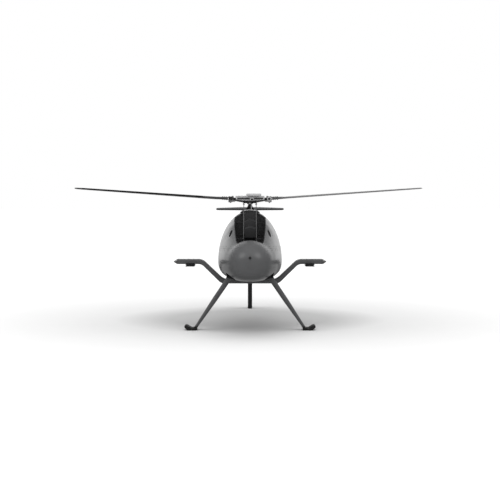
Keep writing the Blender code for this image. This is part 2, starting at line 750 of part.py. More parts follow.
def build_blades():
    """Two twisted, tapered main blades with their grips and pitch horns."""
    for name, side in (("starboard", -1), ("port", 1)):
        grip = box((0.138, -0.026, -0.0150), (GRIP_END, 0.026, 0.0200))
        horn = rod((0.150, 0.030, 0.000), (0.205, 0.040, -0.026), 0.0075, 8)
        horn = fuse(horn, box((0.150, 0.020, -0.006), (0.172, 0.034, 0.006)))
        hole = [(GRIP_EYE_PLACE[0] + x, GRIP_EYE_PLACE[1] + z) for x, z in circle(GRIP_EYE_RADIUS, 14)]
        eye = cut(prism(GRIP_PLATE, -0.038, -0.022), prism(hole, -0.060, -0.0262))
        post = rod((0.170, 0.0, 0.015), (0.170, 0.0, 0.040), 0.0070, 10)
        arm = prism(GRIP_ARM, -0.037, -0.020)
        block = moved(fuse(grip, horn, eye, post, arm), blade_place(side))
        block = cut(block, moved(yoke_block(FIT_GAP), hub_place()))
        rotor_finish(f"blade_grip_{name}", block, bare_metal())

        rings = []
        for radius, chord, thickness in BLADE_PLAN:
            share = (radius - GRIP_END) / (ROTOR_DIAMETER / 2 - GRIP_END)
            pitch = math.radians(BLADE_PITCH - side * CYCLIC_PITCH - BLADE_TWIST * share)
            rings.append(blade_section(radius, chord, thickness, pitch))
        rotor_finish(f"main_blade_{name}", moved(loft(rings), blade_place(side)), dark_composite())


def build_pitch_links():
    """Short links from the rotating swashplate up to the pitch horns."""
    for name, side in (("starboard", -1), ("port", 1)):
        turn = Matrix.Rotation(0.0 if side > 0 else math.pi, 4, "Z")
        foot = box((0.118, 0.040, DISH_TOP_Z + FIT_GAP), (0.137, 0.056, 1.2435))
        bar = rod((0.128, 0.048, 1.2392), (0.200, 0.0535, 1.2290), 0.0055, 8)
        link = fuse(foot, bar)
        rotor_finish(f"pitch_link_{name}", moved(link, hub_place() @ turn), bare_metal())


def fin_ring(height, leading, trailing, thickness):
    """Return one level ring of a fin: a round nose and a thin trailing edge."""
    shape = ((0.0, 0.0), (0.02, 0.32), (0.10, 0.46), (0.30, 0.50), (0.60, 0.38), (0.90, 0.14), (1.0, 0.05))
    right = [(leading + (trailing - leading) * along, across * thickness) for along, across in shape]
    left = [(y, -x) for y, x in reversed(right[1:])]
    return [(x, y, height) for y, x in right + left]


# Half section of the tailplane: share of the chord and of the thickness
PLANE_SHAPE = ((0.0, 0.0), (0.02, 0.26), (0.12, 0.44), (0.32, 0.50), (0.62, 0.36), (0.90, 0.14), (1.0, 0.05))


def build_tail_surfaces():
    """Swept upper fin, T-tail, and the ventral fin that the tail stands on."""
    upper = loft([fin_ring(z, lead, trail, thick) for z, lead, trail, thick in (
        (0.780, 1.060, 1.340, 0.036), (0.860, 1.120, 1.365, 0.034), (1.000, 1.235, 1.420, 0.030),
        (1.0985 - FIT_GAP, 1.315, 1.465, 0.028))])
    finish("upper_fin", cut(upper, body_form(-FIT_GAP)), body_paint())

    def plane_ring(x, leading, trailing, thickness, height):
        """Return one upright ring of the tailplane, across its span at x."""
        top = [(leading + (trailing - leading) * along, height + up * thickness) for along, up in PLANE_SHAPE]
        bottom = [(y, 2 * height - z) for y, z in reversed(top[1:])]
        return [(x, y, z) for y, z in top + bottom]

    half_spans = ((0.3865, 1.425, 1.505, 0.0200, 1.1163), (0.372, 1.405, 1.520, 0.0275, 1.1163),
                  (0.120, 1.335, 1.548, 0.0380, 1.1205), (0.0, 1.310, TAIL_END_Y, 0.0440, 1.1190))
    spans = [(-x, *rest) for x, *rest in half_spans[:-1]] + list(reversed(half_spans))
    plane = loft([plane_ring(*span) for span in spans])
    plane = cut(plane, box((-0.020, 1.30, 1.0), (0.020, 1.470, 1.0985)))
    finish("tailplane", plane, body_paint())

    ventral = loft([fin_ring(z, lead, trail, thick) for z, lead, trail, thick in (
        (0.020 + FIT_GAP, 1.150, 1.280, 0.048), (0.300, 1.095, 1.270, 0.050), (0.790, 0.985, 1.262, 0.0515))])
    finish("ventral_fin", cut(ventral, body_form(-FIT_GAP)), body_paint())

    shoe = loft([
        [(x, y, 0.0) for y, x in ((1.160, 0.018), (1.270, 0.018), (1.270, -0.018), (1.160, -0.018))],
        [(x, y, 0.008) for y, x in ((1.148, 0.0255), (1.284, 0.0255), (1.284, -0.0255), (1.148, -0.0255))],
        [(x, y, 0.020) for y, x in ((1.146, 0.0255), (1.286, 0.0255), (1.286, -0.0255), (1.146, -0.0255))],
    ])
    finish("tail_shoe", shoe, black_rubber())


def build_tail_rotor():
    """Tail gearbox on the boom's port side and the two-blade tail rotor on its shaft."""
    place = Matrix.Translation((0.0, TAIL_HUB_Y, TAIL_HUB_Z))
    case = moved(prism(circle(0.034, 20), 0.02, 0.082, "X"), place)
    finish("tail_gearbox", cut(case, body_form(-FIT_GAP)), bare_metal())

    def tail_finish(name, mesh, paint):
        """Finish a tail rotor piece with its origin on the rotor's axis."""
        origin = Matrix.Translation((TAIL_DISC_X, TAIL_HUB_Y, TAIL_HUB_Z))
        made = finish(name, moved(mesh, origin.inverted()), paint)
        made.matrix_world = origin

    shaft = moved(prism(circle(0.010, 16), 0.082 + FIT_GAP, 0.138, "X"), place)
    hub = moved(box((0.095, -0.016, -0.040), (0.121, 0.016, 0.040)), place)
    spider = moved(box((0.128, -0.009, -0.034), (0.134, 0.009, 0.034)), place)
    hub = fuse(hub, shaft, spider)
    for side in (-1, 1):
        foot = (0.131, TAIL_HUB_Y + side * 0.004, TAIL_HUB_Z + side * 0.029)
        hub = fuse(hub, rod(foot, (0.113, TAIL_HUB_Y + side * 0.012, TAIL_HUB_Z + side * 0.034), 0.0035, 8))
    tail_finish("tail_rotor_hub", hub, bare_metal())

    for name, side in (("upper", 1), ("lower", -1)):
        turn = Matrix.Rotation(-side * math.pi / 2, 4, "Y")
        rings = []
        for radius, chord, thickness in ((0.040 + FIT_GAP, 0.028, 0.014), (0.075, 0.050, 0.009),
                                         (0.262, 0.050, 0.006), (TAIL_ROTOR_RADIUS, 0.034, 0.004)):
            ring = blade_section(radius, chord, thickness, math.radians(9.0))
            rings.append([(x, y + 0.25 * chord, z) for x, y, z in ring])
        centre = Matrix.Translation((TAIL_DISC_X, TAIL_HUB_Y, TAIL_HUB_Z))
        tail_finish(f"tail_blade_{name}", moved(loft(rings), centre @ turn), dark_composite())


def build_hardpoints():
    """Cross-beam under the belly with a bent arm each side, and the rail under each arm."""
    port = list(ARM_LOWER_LINE + ARM_UPPER_LINE)
    outline = port + [(-x, z) for x, z in reversed(port)]
    beam = prism(outline, MAST_Y - ARM_HALF_CHORD, MAST_Y + ARM_HALF_CHORD)
    finish("hardpoint_beam", cut(beam, body_form(-FIT_GAP)), strut_paint())
    for name, side in (("starboard", -1), ("port", 1)):
        low, high = sorted((side * 0.5386, side * 0.6260))
        rail = box((low, MAST_Y - 0.110, RAIL_BOTTOM_Z), (high, MAST_Y + 0.110, ARM_BOTTOM_Z - FIT_GAP))
        finish(f"hardpoint_rail_{name}", rail, black_plastic())


def build_landing_gear():
    """Two tapered legs on brackets, each with an upturned black foot."""
    hull = body_form(-FIT_GAP)
    interior = body_form(SKIN + FIT_GAP)
    for name, side in (("starboard", -1), ("port", 1)):
        top, foot = sided(LEG_TOP, side), sided(LEG_FOOT, side)
        along = (foot - top).normalized()
        chordwise = (Vector((0.0, 1.0, 0.0)) - along * along.y).normalized()
        across = along.cross(chordwise).normalized()
        start = top - along * LEG_OVERRUN
        rings = []
        for share, width, chord in LEG_WIDTHS:
            point = start.lerp(foot, share)
            broad, deep = across * (0.5 * width), chordwise * (0.5 * chord)
            rings.append([point + broad * x + deep * y for x, y in circle(1.0, 16)])
        inner, outer = FLANGE_SPAN
        flange = (
            (inner, seat_height(inner) - 0.0100), (inner, seat_height(inner)),
            (outer, seat_height(outer)), (outer, seat_height(outer) - 0.0090),
        )
        flange = prism([(side * x, z) for x, z in flange], BLOCK_FRONT_Y, NOTCH_REAR_Y - 0.002)
        leg = fuse(loft(rings), flange)
        leg = cut(leg, seat_block(side, FIT_GAP, None, 1.5))
        leg = cut(leg, cut(hull.copy(), leg_notch(side, -FIT_GAP)))
        leg = keep(leg, box((-1.0, -2.0, FOOT_TOP_Z + FIT_GAP), (1.0, 1.0, 1.0)))
        finish(f"landing_leg_{name}", leg, strut_paint())

        lining = cut(keep(leg_notch(side, LINING), interior.copy()), leg_notch(side))
        inner = keep(leg_notch(side, 0.001, BLOCK_FRONT_Y), interior.copy())
        bracket = fuse(lining, inner, leg_notch(side, -FIT_GAP, BLOCK_FRONT_Y))
        finish(f"leg_bracket_{name}", cut(bracket, seat_block(side, 0.0, 0.3, None)), black_plastic())

        outline = [(side * x, z) for x, z in FOOT_HOOK]
        shoe = prism(outline, foot.y - FOOT_HALF_LENGTH, foot.y + FOOT_HALF_LENGTH)
        finish(f"foot_{name}", shoe, black_rubber())


def build_probe_and_exhaust():
    """Pitot probe on the nose and the exhaust under the rear hull."""
    probe = rod((0.0, -1.46, 0.7387), (0.0, PROBE_TIP_Y, 0.7387), 0.0085, 12, end_radius=0.0060)
    finish("pitot_probe", cut(probe, body_form(-FIT_GAP)), black_plastic())
    start, end = Vector((-0.070, 0.02, 0.560)), Vector((-0.070, 0.215, 0.455))
    pipe = cut(rod(start, end, 0.024, 18), body_form(-FIT_GAP))
    bore = rod(start.lerp(end, 0.72), start.lerp(end, 1.44), 0.020, 18)
    finish("exhaust_pipe", cut(pipe, bore), bare_metal())


def main():
    """Build every piece of the aircraft."""
    clear_scene()
    build_fuselage()
    build_tail_boom()
    build_mast_collar()
    build_bulkheads()
    build_engine()
    build_throat()
    build_controls()
    build_mast_parts()
    build_rotor_head()
    build_blades()
    build_pitch_links()
    build_tail_surfaces()
    build_tail_rotor()
    build_hardpoints()
    build_landing_gear()
    build_probe_and_exhaust()


main()
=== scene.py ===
"""Looks of an unmanned helicopter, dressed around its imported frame.

Metres, +Z up. The nose points to -Y and the aircraft's port side is +X. The floor is z = 0.
"""

import logging
import math
from collections import Counter
from dataclasses import dataclass
from enum import Enum
from typing import Callable, Iterable, Sequence

import bmesh
import bpy
from mathutils import Matrix, Vector


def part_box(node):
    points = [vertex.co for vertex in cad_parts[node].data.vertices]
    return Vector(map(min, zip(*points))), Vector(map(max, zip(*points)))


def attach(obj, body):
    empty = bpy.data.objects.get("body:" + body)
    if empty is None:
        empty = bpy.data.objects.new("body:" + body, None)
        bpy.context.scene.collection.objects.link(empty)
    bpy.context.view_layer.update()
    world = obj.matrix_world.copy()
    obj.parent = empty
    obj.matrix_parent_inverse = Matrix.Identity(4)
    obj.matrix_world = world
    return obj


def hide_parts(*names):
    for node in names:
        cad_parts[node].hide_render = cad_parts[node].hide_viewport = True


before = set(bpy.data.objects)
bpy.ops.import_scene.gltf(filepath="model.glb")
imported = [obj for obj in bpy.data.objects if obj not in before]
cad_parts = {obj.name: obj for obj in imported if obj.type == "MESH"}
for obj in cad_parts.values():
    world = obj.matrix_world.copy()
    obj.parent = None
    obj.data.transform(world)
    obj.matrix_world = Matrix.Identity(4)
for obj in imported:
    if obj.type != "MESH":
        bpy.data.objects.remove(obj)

LOG = logging.getLogger("helicopter")

Pair = tuple[float, float]
Triple = tuple[float, float, float]
Ring = list[Vector]
Socket = bpy.types.NodeSocket


class Part(Enum):
    """The three bodies of the machine that a piece can move with."""

    AIRFRAME = "airframe"
    MAIN_ROTOR = "main_rotor"
    TAIL_ROTOR = "tail_rotor"


class Side(Enum):
    """The two sides of the machine, with the sign of their X."""

    STARBOARD = -1
    PORT = 1

    @property
    def word(self) -> str:
        """The side's name as the frame's nodes write it."""
        return self.name.lower()

    def point(self, port: Triple) -> Vector:
        """Return this side's twin of a point to port."""
        return Vector((self.value * port[0], port[1], port[2]))


class NodeBench:
    """A node tree, with the few tools that the finishes and the studio share."""

    def __init__(self, tree: bpy.types.NodeTree, shader: str, place: str) -> None:
        """Open a tree.

        Args:
            tree: The tree, with its shader already in it.
            shader: The name of the shader's node.
            place: Which coordinates the patterns follow.
        """
        self.tree = tree
        self.shader = tree.nodes[shader]
        self.place = tree.nodes.new("ShaderNodeTexCoord").outputs[place]

    def node(self, kind: str, inputs: dict[str | int, object], **settings: object) -> bpy.types.Node:
        """Add a node.

        Args:
            kind: Blender's type name of the node, without its first word.
            inputs: What goes into its sockets, by name or number.
            settings: Properties of the node itself.

        Returns:
            The new node.
        """
        made = self.tree.nodes.new("ShaderNode" + kind)
        for key, value in settings.items():
            setattr(made, key, value)
        for key, value in inputs.items():
            self.feed(made.inputs[key], value)
        return made

    def feed(self, socket: Socket, value: object) -> None:
        """Link another node's output to a socket, or write a plain value on it.

        Args:
            socket: The socket.
            value: The output, the number, or the colour without its alpha.
        """
        if isinstance(value, Socket):
            self.tree.links.new(value, socket)
        elif socket.type == "RGBA":
            socket.default_value = (*value, 1.0)
        else:
            socket.default_value = value

    def shade(self, **values: object) -> None:
        """Feed the shader's sockets, with underscores for the blanks in their names."""
        for key, value in values.items():
            self.feed(self.shader.inputs[key.replace("_", " ")], value)

    def stretched(self, scale: Triple, shift: Triple = (0.0, 0.0, 0.0)) -> Socket:
        """Return the coordinates, scaled along each axis and shifted."""
        return self.node("Mapping", {"Scale": scale, "Location": shift,
            "Vector": self.place}).outputs["Vector"]

    def noise(self, scale: float, detail: float = 2.0, rough: float = 0.5,
            place: Socket | None = None) -> Socket:
        """Return a noise of so many waves in a metre, with finer layers of a strength."""
        return self.node("TexNoise", {"Scale": scale, "Detail": detail, "Roughness": rough,
            "Vector": place or self.place}).outputs["Fac"]

    def cells(self, scale: float) -> Socket:
        """Return the distance to the nearest point of a scattered pattern."""
        return self.node("TexVoronoi", {"Scale": scale, "Vector": self.place}).outputs["Distance"]

    def waves(self, scale: float, axis: str, warp: float) -> Socket:
        """Return bands along an axis, which wander by the warp."""
        return self.node("TexWave", {"Scale": scale, "Distortion": warp, "Vector": self.place},
            wave_type="BANDS", bands_direction=axis).outputs["Fac"]

    def ranged(self, value: Socket, low: float, high: float, to_low: float, to_high: float,
            curve: str = "LINEAR") -> Socket:
        """Map a value from one range to another, held at its ends."""
        return self.node("MapRange", {"Value": value, "From Min": low, "From Max": high, "To Min": to_low,
            "To Max": to_high}, interpolation_type=curve).outputs["Result"]

    def sum(self, first: Socket, second: Socket, share: float = 1.0) -> Socket:
        """Return the first value plus a share of the second."""
        return self.node("Math", {0: second, 1: share, 2: first}, operation="MULTIPLY_ADD").outputs["Value"]

    def mixed(self, factor: Socket, first: Triple | Socket, second: Triple | Socket) -> Socket:
        """Return a colour between two colours."""
        return self.node("Mix", {"Factor": factor, 6: first, 7: second}, data_type="RGBA").outputs[2]

    def tint(self, value: Socket, dark: Triple, pale: Triple, low: float = 0.0, high: float = 1.0) -> None:
        """Colour the shader from dark to pale as a value goes from low to high."""
        self.shade(Base_Color=self.mixed(self.ranged(value, low, high, 0.0, 1.0), dark, pale))

    def dull(self, value: Socket, low: float, high: float, glossy: float, matt: float) -> None:
        """Roughen the shader from glossy to matt as a value goes from low to high."""
        self.shade(Roughness=self.ranged(value, low, high, glossy, matt))

    def bumped(self, height: Socket, depth: float, strength: float) -> None:
        """Bump the shader by a height, of which 1 is so many metres deep, at a strength."""
        bump = self.node("Bump", {"Strength": strength, "Distance": depth, "Height": height})
        self.shade(Normal=bump.outputs["Normal"])


def scaled(colour: Triple, share: float) -> Triple:
    """Return a colour made darker or lighter."""
    return tuple(channel * share for channel in colour)


@dataclass(frozen=True)
class Finish:
    """A surface finish that makes its material once and gives it to every piece that asks."""

    name: str
    slot: str

    def build(self, bench: NodeBench) -> None:
        """Wire the material's nodes. Each kind of finish has its own."""
        raise NotImplementedError

    def material(self) -> bpy.types.Material:
        """Make the finish's material on first use.

        Returns:
            The material.
        """
        made = bpy.data.materials.get(self.name)
        if made is None:
            made = bpy.data.materials.new(self.name)
            made.use_nodes = True
            self.build(NodeBench(made.node_tree, "Principled BSDF", "Object"))
        return made


@dataclass(frozen=True)
class SprayedPaint(Finish):
    """Satin paint with faint clouding, a fine orange peel and a trace of dust."""

    colour: Triple
    gloss: Pair = (0.27, 0.34)
    coat: float = 0.0
    clouding: Pair = (0.94, 1.07)
    peel_depth: float = 0.00006

    def build(self, bench: NodeBench) -> None:
        """Wire colour clouding, uneven gloss and orange peel.

        Args:
            bench: The material's nodes.
        """
        clouds = bench.sum(bench.noise(6.0, 3.0), bench.noise(140.0), 0.35)
        bench.tint(clouds, *(scaled(self.colour, share) for share in self.clouding), 0.45, 0.9)
        handling = bench.sum(bench.noise(18.0, 4.0, 0.6), bench.noise(420.0, 1.0), 0.25)
        bench.dull(handling, 0.35, 0.95, *self.gloss)
        bench.shade(Coat_Weight=self.coat, Coat_Roughness=0.12)
        bench.bumped(bench.noise(650.0, 1.0), self.peel_depth, 0.35)


@dataclass(frozen=True)
class MouldedPlastic(Finish):
    """Matt moulded plastic with a leather-like grain."""

    colour: Triple = (0.012, 0.012, 0.013)
    roughness: float = 0.5
    grain_depth: float = 0.0001

    def build(self, bench: NodeBench) -> None:
        """Wire the grain and its uneven sheen.

        Args:
            bench: The material's nodes.
        """
        grain = bench.sum(bench.cells(900.0), bench.noise(320.0, 3.0, 0.6), 0.6)
        bench.tint(grain, self.colour, scaled(self.colour, 1.6), 0.4, 1.1)
        bench.dull(bench.noise(40.0, 3.0), 0.3, 0.7, self.roughness - 0.05, self.roughness + 0.08)
        bench.bumped(grain, self.grain_depth, 0.6)


@dataclass(frozen=True)
class MouldedRubber(Finish):
    """Dull rubber with dusty patches."""

    colour: Triple = (0.01, 0.01, 0.01)
    dust: Triple = (0.03, 0.029, 0.028)
    pebble_depth: float = 0.00012

    def build(self, bench: NodeBench) -> None:
        """Wire dust patches, a dull gloss and a pebbled bump.

        Args:
            bench: The material's nodes.
        """
        patches = bench.sum(bench.noise(30.0, 4.0, 0.65), bench.noise(400.0), 0.3)
        bench.tint(patches, self.colour, self.dust, 0.55, 0.95)
        bench.dull(patches, 0.4, 0.9, 0.62, 0.82)
        bench.bumped(bench.noise(700.0, 3.0, 0.6), self.pebble_depth, 0.7)


@dataclass(frozen=True)
class MachinedMetal(Finish):
    """Turned or milled metal with fine tool lines along one axis."""

    colour: Triple = (0.62, 0.63, 0.64)
    roughness: float = 0.3
    lines: Triple = (60.0, 60.0, 1600.0)
    line_depth: float = 0.00003

    def build(self, bench: NodeBench) -> None:
        """Wire tool lines, smudges and a metallic base.

        Args:
            bench: The material's nodes.
        """
        tooling = bench.noise(1.0, 2.0, 0.6, bench.stretched(self.lines))
        smudge = bench.noise(55.0, 4.0, 0.6)
        bench.tint(bench.sum(smudge, tooling, 0.3), scaled(self.colour, 0.8), self.colour)
        bench.dull(bench.sum(smudge, tooling, 0.4), 0.4, 1.0, self.roughness - 0.06, self.roughness + 0.12)
        bench.shade(Metallic=1.0)
        bench.bumped(tooling, self.line_depth, 0.5)


@dataclass(frozen=True)
class WovenComposite(Finish):
    """Dark laminate under a satin coat, with a twill that shows faintly."""

    colour: Triple = (0.055, 0.055, 0.056)
    thread: Triple = (0.075, 0.075, 0.076)
    roughness: float = 0.36
    twill_scale: float = 130.20833
    twill_depth: float = 0.00004

    def build(self, bench: NodeBench) -> None:
        """Wire the twill from two crossed band patterns, and an uneven coat.

        Args:
            bench: The material's nodes.
        """
        twill = bench.sum(bench.waves(self.twill_scale, "DIAGONAL", 0.2),
            bench.waves(self.twill_scale * 2.0, "X", 0.2), 0.5)
        clouds = bench.noise(9.0, 3.0)
        bench.tint(bench.sum(twill, clouds, 0.6), self.colour, self.thread, 0.5, 1.6)
        bench.dull(bench.sum(clouds, twill, 0.15), 0.3, 0.9, self.roughness - 0.05, self.roughness + 0.07)
        bench.bumped(twill, self.twill_depth, 0.4)


@dataclass(frozen=True)
class StudioFloor(Finish):
    """Pale seamless floor with the faintest grain, and a painted shadow pool that darkens it under the machine.
    """

    colour: Triple = (0.76, 0.76, 0.76)
    # The colour of the painted shadow pool under the machine.
    shadow_tone: Triple = (0.4, 0.4, 0.4)
    middle_y: float = 0.2
    half_x: float = 4.13
    half_y: float = 3.7
    share: float = 0.72
    near_edge: float = 0.66
    near_share: float = 0.95

    def build(self, bench: NodeBench) -> None:
        """Wire a nearly even tone without gloss, darkened towards the middle by a painted shadow.

        Args:
            bench: The material's nodes.
        """
        place = bench.stretched((1.0 / self.half_x, 1.0 / self.half_y, 0.0),
            (0.0, -self.middle_y / self.half_y, 0.0))
        oval = bench.node("TexGradient", {"Vector": place}, gradient_type="SPHERICAL").outputs["Fac"]
        # The two oval patches are painted shadow under the machine: a wide soft pool and a darker core.
        patches = bench.sum(bench.ranged(oval, 0.0, 1.0, 0.0, self.share),
            bench.ranged(oval, self.near_edge, 1.0, 0.0, self.near_share))
        bench.tint(bench.sum(patches, bench.noise(3.0), 0.04), self.colour, self.shadow_tone)
        bench.dull(bench.noise(8.0), 0.0, 1.0, 0.9, 0.95)
        bench.shade(Specular_IOR_Level=0.0)


HEAD_GLOSS = (0.38, 0.46)
BODY_PAINT = SprayedPaint("hull_satin_grey", "body_paint", (0.084, 0.085, 0.087), coat=0.25)
FIN_PAINT = SprayedPaint("fin_satin_grey", "body_paint", (0.07, 0.071, 0.073), (0.32, 0.4))
VENTRAL_PAINT = SprayedPaint("ventral_black", "body_paint", (0.018, 0.018, 0.019), (0.42, 0.5))
# Pale grey of the strip on the collar's front edge: a painted highlight.
COLLAR_HIGHLIGHT_PAINT = SprayedPaint("collar_painted_highlight", "body_paint", (0.58, 0.58, 0.585))
STRUT_PAINT = SprayedPaint("strut_satin_grey", "strut_paint", (0.08, 0.081, 0.083), (0.34, 0.42))
CAP_PAINT = SprayedPaint("cap_pale_grey", "bare_metal", (0.47, 0.47, 0.475), (0.4, 0.48))
YOKE_PAINT = SprayedPaint("yoke_grey", "bare_metal", (0.4, 0.4, 0.404), HEAD_GLOSS)
END_PAINT = SprayedPaint("yoke_end_grey", "bare_metal", (0.42, 0.42, 0.424), HEAD_GLOSS)
# Dark grey of the yoke's window straps: painted shade for the window pockets.
STRAP_SHADE_PAINT = SprayedPaint("strap_painted_shade", "bare_metal", (0.1, 0.1, 0.101), HEAD_GLOSS)
PLATE_PAINT = SprayedPaint("plate_grey", "bare_metal", (0.2, 0.2, 0.202), HEAD_GLOSS)
GRIP_PAINT = SprayedPaint("grip_dark_grey", "bare_metal", (0.05, 0.05, 0.051), HEAD_GLOSS)
ROD_PAINT = SprayedPaint("rod_grey", "bare_metal", (0.13, 0.13, 0.131), HEAD_GLOSS)
THROAT_PLASTIC = MouldedPlastic("throat_black", "black_plastic", (0.016, 0.016, 0.017), 0.45)
SHROUD_PLASTIC = MouldedPlastic("shroud_dark_grey", "black_plastic", (0.024, 0.024, 0.025), 0.42)
FITTING_PLASTIC = MouldedPlastic("fitting_black", "black_plastic")
BOOT_RUBBER = MouldedRubber("boot_rubber", "black_rubber")
BLADE_LAMINATE = WovenComposite("blade_laminate", "dark_composite")
HEAD_METAL = MachinedMetal("head_aluminium", "bare_metal")
DARK_METAL = MachinedMetal("dark_anodised", "bare_metal", (0.1, 0.1, 0.105), 0.38)
STEEL = MachinedMetal("polished_steel", "bare_metal", (0.55, 0.55, 0.56), 0.22)
PALE_METAL = MachinedMetal("pale_anodised", "bare_metal", (0.8, 0.8, 0.8), 0.42)
DULL_METAL = MachinedMetal("dull_aluminium", "bare_metal", (0.3, 0.3, 0.31), 0.45)
SCREEN_WIRE = MachinedMetal("screen_wire", "bare_metal", (0.26, 0.26, 0.265), 0.45)
EXHAUST_METAL = MachinedMetal("exhaust_steel", "bare_metal", (0.32, 0.29, 0.27), 0.4)
FLOOR = StudioFloor("studio_floor", "")


class Draft:
    """A mesh under construction, with its points already in the frame's own place."""

    def __init__(self) -> None:
        """Start with nothing."""
        self.points: list[Vector] = []
        self.faces: list[tuple[int, ...]] = []

    def add(self, points: Iterable[Vector], faces: Iterable[Sequence[int]]) -> None:
        """Append points, and faces that count from the first of them.

        Args:
            points: The points.
            faces: The faces, as numbers of those points.
        """
        start = len(self.points)
        self.points.extend(Vector(point) for point in points)
        self.faces.extend(tuple(start + index for index in face) for face in faces)

    def loft(self, rings: Sequence[Ring], closed: bool = True, capped: bool = True,
            start_tip: Vector | None = None, end_tip: Vector | None = None) -> None:
        """Join rings of equal size.

        Args:
            rings: The rings in order.
            closed: Whether each ring joins its last point to its first.
            capped: Whether the two ends are closed by a face.
            start_tip: A point that closes the start in place of a flat face.
            end_tip: A point that closes the end in place of a flat face.
        """
        count = len(rings[0])
        points = [point for ring in rings for point in ring]
        faces: list[tuple[int, ...]] = []
        for level in range(len(rings) - 1):
            for index in range(count if closed else count - 1):
                after = (index + 1) % count
                faces.append((level * count + index, level * count + after, (level + 1) * count + after,
                    (level + 1) * count + index))
        for tip, first in ((start_tip, 0), (end_tip, (len(rings) - 1) * count)):
            if tip is not None:
                points.append(tip)
                faces.extend((first + index, first + (index + 1) % count, len(points) - 1)
                    for index in range(count))
            elif capped:
                faces.append(tuple(range(first, first + count)))
        self.add(points, faces)

    def tube(self, path: Sequence[Vector], radius: float, sides: int = 10, closed: bool = False) -> None:
        """Lay a round tube along a path.

        Args:
            path: The points of its middle.
            radius: Its radius.
            sides: How many sides it has.
            closed: Whether it joins up with its start.
        """
        rings = []
        count = len(path)
        side_way: Vector | None = None
        for index, point in enumerate(path):
            before = path[index - 1] if closed or index > 0 else point
            after = path[(index + 1) % count] if closed or index < count - 1 else point
            ahead = (Vector(after) - Vector(before)).normalized()
            if side_way is None:
                side_way = ahead.orthogonal().normalized()
            side_way = (side_way - ahead * side_way.dot(ahead)).normalized()
            third = ahead.cross(side_way)
            rings.append([Vector(point) + radius * (math.cos(angle) * side_way + math.sin(angle) * third)
                for angle in turns(sides)])
        if closed:
            rings.append(rings[0])
        self.loft(rings, capped=not closed)

    def bar(self, start: Sequence[float], end: Sequence[float], radius: float, sides: int = 16) -> None:
        """Put a round bar between two points.

        Args:
            start: One end.
            end: The other end.
            radius: Its radius.
            sides: How many sides it has.
        """
        start, end = Vector(start), Vector(end)
        turn = (end - start).to_track_quat("Z", "Y")
        circle = [turn @ Vector((radius * math.cos(angle), radius * math.sin(angle), 0.0))
            for angle in turns(sides)]
        self.loft([[point + offset for offset in circle] for point in (start, end)])

    def block(self, low: Sequence[float], high: Sequence[float], place: Matrix | None = None) -> None:
        """Put a block between two corners, moved by a matrix if there is one.

        Args:
            low: Its lowest corner.
            high: Its highest corner.
            place: The matrix that moves it, if any.
        """
        corners = [Vector((x, y, z)) for z in (low[2], high[2]) for x, y in ((low[0], low[1]),
            (high[0], low[1]), (high[0], high[1]), (low[0], high[1]))]
        self.loft([moved(corners[:4], place), moved(corners[4:], place)])

    def turned(self, profile: Sequence[Pair], count: int = 32, place: Matrix | None = None,
            open_ends: bool = False) -> None:
        """Turn a profile of radius and height about the Z axis of a place.

        Args:
            profile: Pairs of radius and height.
            count: How many steps the turn has.
            place: Where the axis stands, the world's own by default.
            open_ends: Whether the profile is a closed loop that leaves a bore.
        """
        rings = [moved([Vector((radius * math.cos(angle), radius * math.sin(angle), height))
            for angle in turns(count)], place) for radius, height in profile]
        if open_ends:
            rings.append(rings[0])
        self.loft(rings, capped=not open_ends)

    def prism(self, outline: Sequence[Pair], low: float, high: float, place: Matrix | None = None) -> None:
        """Extrude an outline of X and Z along Y, moved by a matrix if there is one."""
        self.loft([moved([Vector((x, depth, z)) for x, z in outline], place) for depth in (low, high)])

    def build(self, name: str, finish: Finish, replaces: str = "", side: Side | None = None,
            part: Part = Part.AIRFRAME, bevel: float = 0.0, segments: int = 2,
            smooth: float = 32.0) -> None:
        """Turn the draft into a piece that rides on its body.

        Args:
            name: The piece's name.
            finish: The finish that it wears.
            replaces: The frame's node that it stands for, if any.
            side: The side whose word ends both names, if any.
            part: The body that it moves with.
            bevel: How wide its edges are rounded.
            segments: How many steps the rounding has.
            smooth: The angle up to which faces blend.
        """
        ending = f"_{side.word}" if side else ""
        piece = self.object(name + ending)
        round_edges(piece, bevel, segments, smooth)
        settle(piece, finish, replaces and replaces + ending, part)

    def object(self, name: str) -> bpy.types.Object:
        """Return the draft as an object in the scene, with its faces turned outwards.

        Args:
            name: The object's name.

        Returns:
            The new object.
        """
        mesh = bpy.data.meshes.new(name)
        mesh.from_pydata([tuple(point) for point in self.points], [], self.faces)
        shape = bmesh.new()
        shape.from_mesh(mesh)
        bmesh.ops.remove_doubles(shape, verts=shape.verts, dist=0.00001)
        bmesh.ops.recalc_face_normals(shape, faces=shape.faces)
        shape.to_mesh(mesh)
        shape.free()
        piece = bpy.data.objects.new(name, mesh)
        bpy.context.collection.objects.link(piece)
        return piece


def turns(count: int) -> list[float]:
    """Return the angles of a full turn in equal steps."""
    return [math.tau * index / count for index in range(count)]


def moved(points: Iterable[Vector], place: Matrix | None) -> Ring:
    """Return points moved by a matrix, or as they are without one."""
    return [place @ Vector(point) if place is not None else Vector(point) for point in points]


def round_edges(piece: bpy.types.Object, width: float, segments: int, smooth: float,
        weighted: bool = False) -> None:
    """Shade a piece smooth up to an angle and round its edges.

    Args:
        piece: The piece.
        width: How wide its edges are rounded, or 0 for none.
        segments: How many steps the rounding has.
        smooth: The angle up to which faces blend.
        weighted: Whether the edges' own weights say how much each is rounded.
    """
    piece.data.shade_smooth()
    piece.data.set_sharp_from_angle(angle=math.radians(smooth))
    if weighted:
        uses = Counter(key for face in piece.data.polygons for key in face.edge_keys)
        for edge in piece.data.edges:
            edge.use_edge_sharp = edge.use_edge_sharp or uses[edge.key] == 1
    if width > 0.0:
        rounding = piece.modifiers.new("edges", "BEVEL")
        rounding.width = width
        rounding.segments = segments
        rounding.limit_method = "WEIGHT" if weighted else "ANGLE"
        rounding.angle_limit = math.radians(smooth)
        rounding.harden_normals = True
        rounding.use_clamp_overlap = True


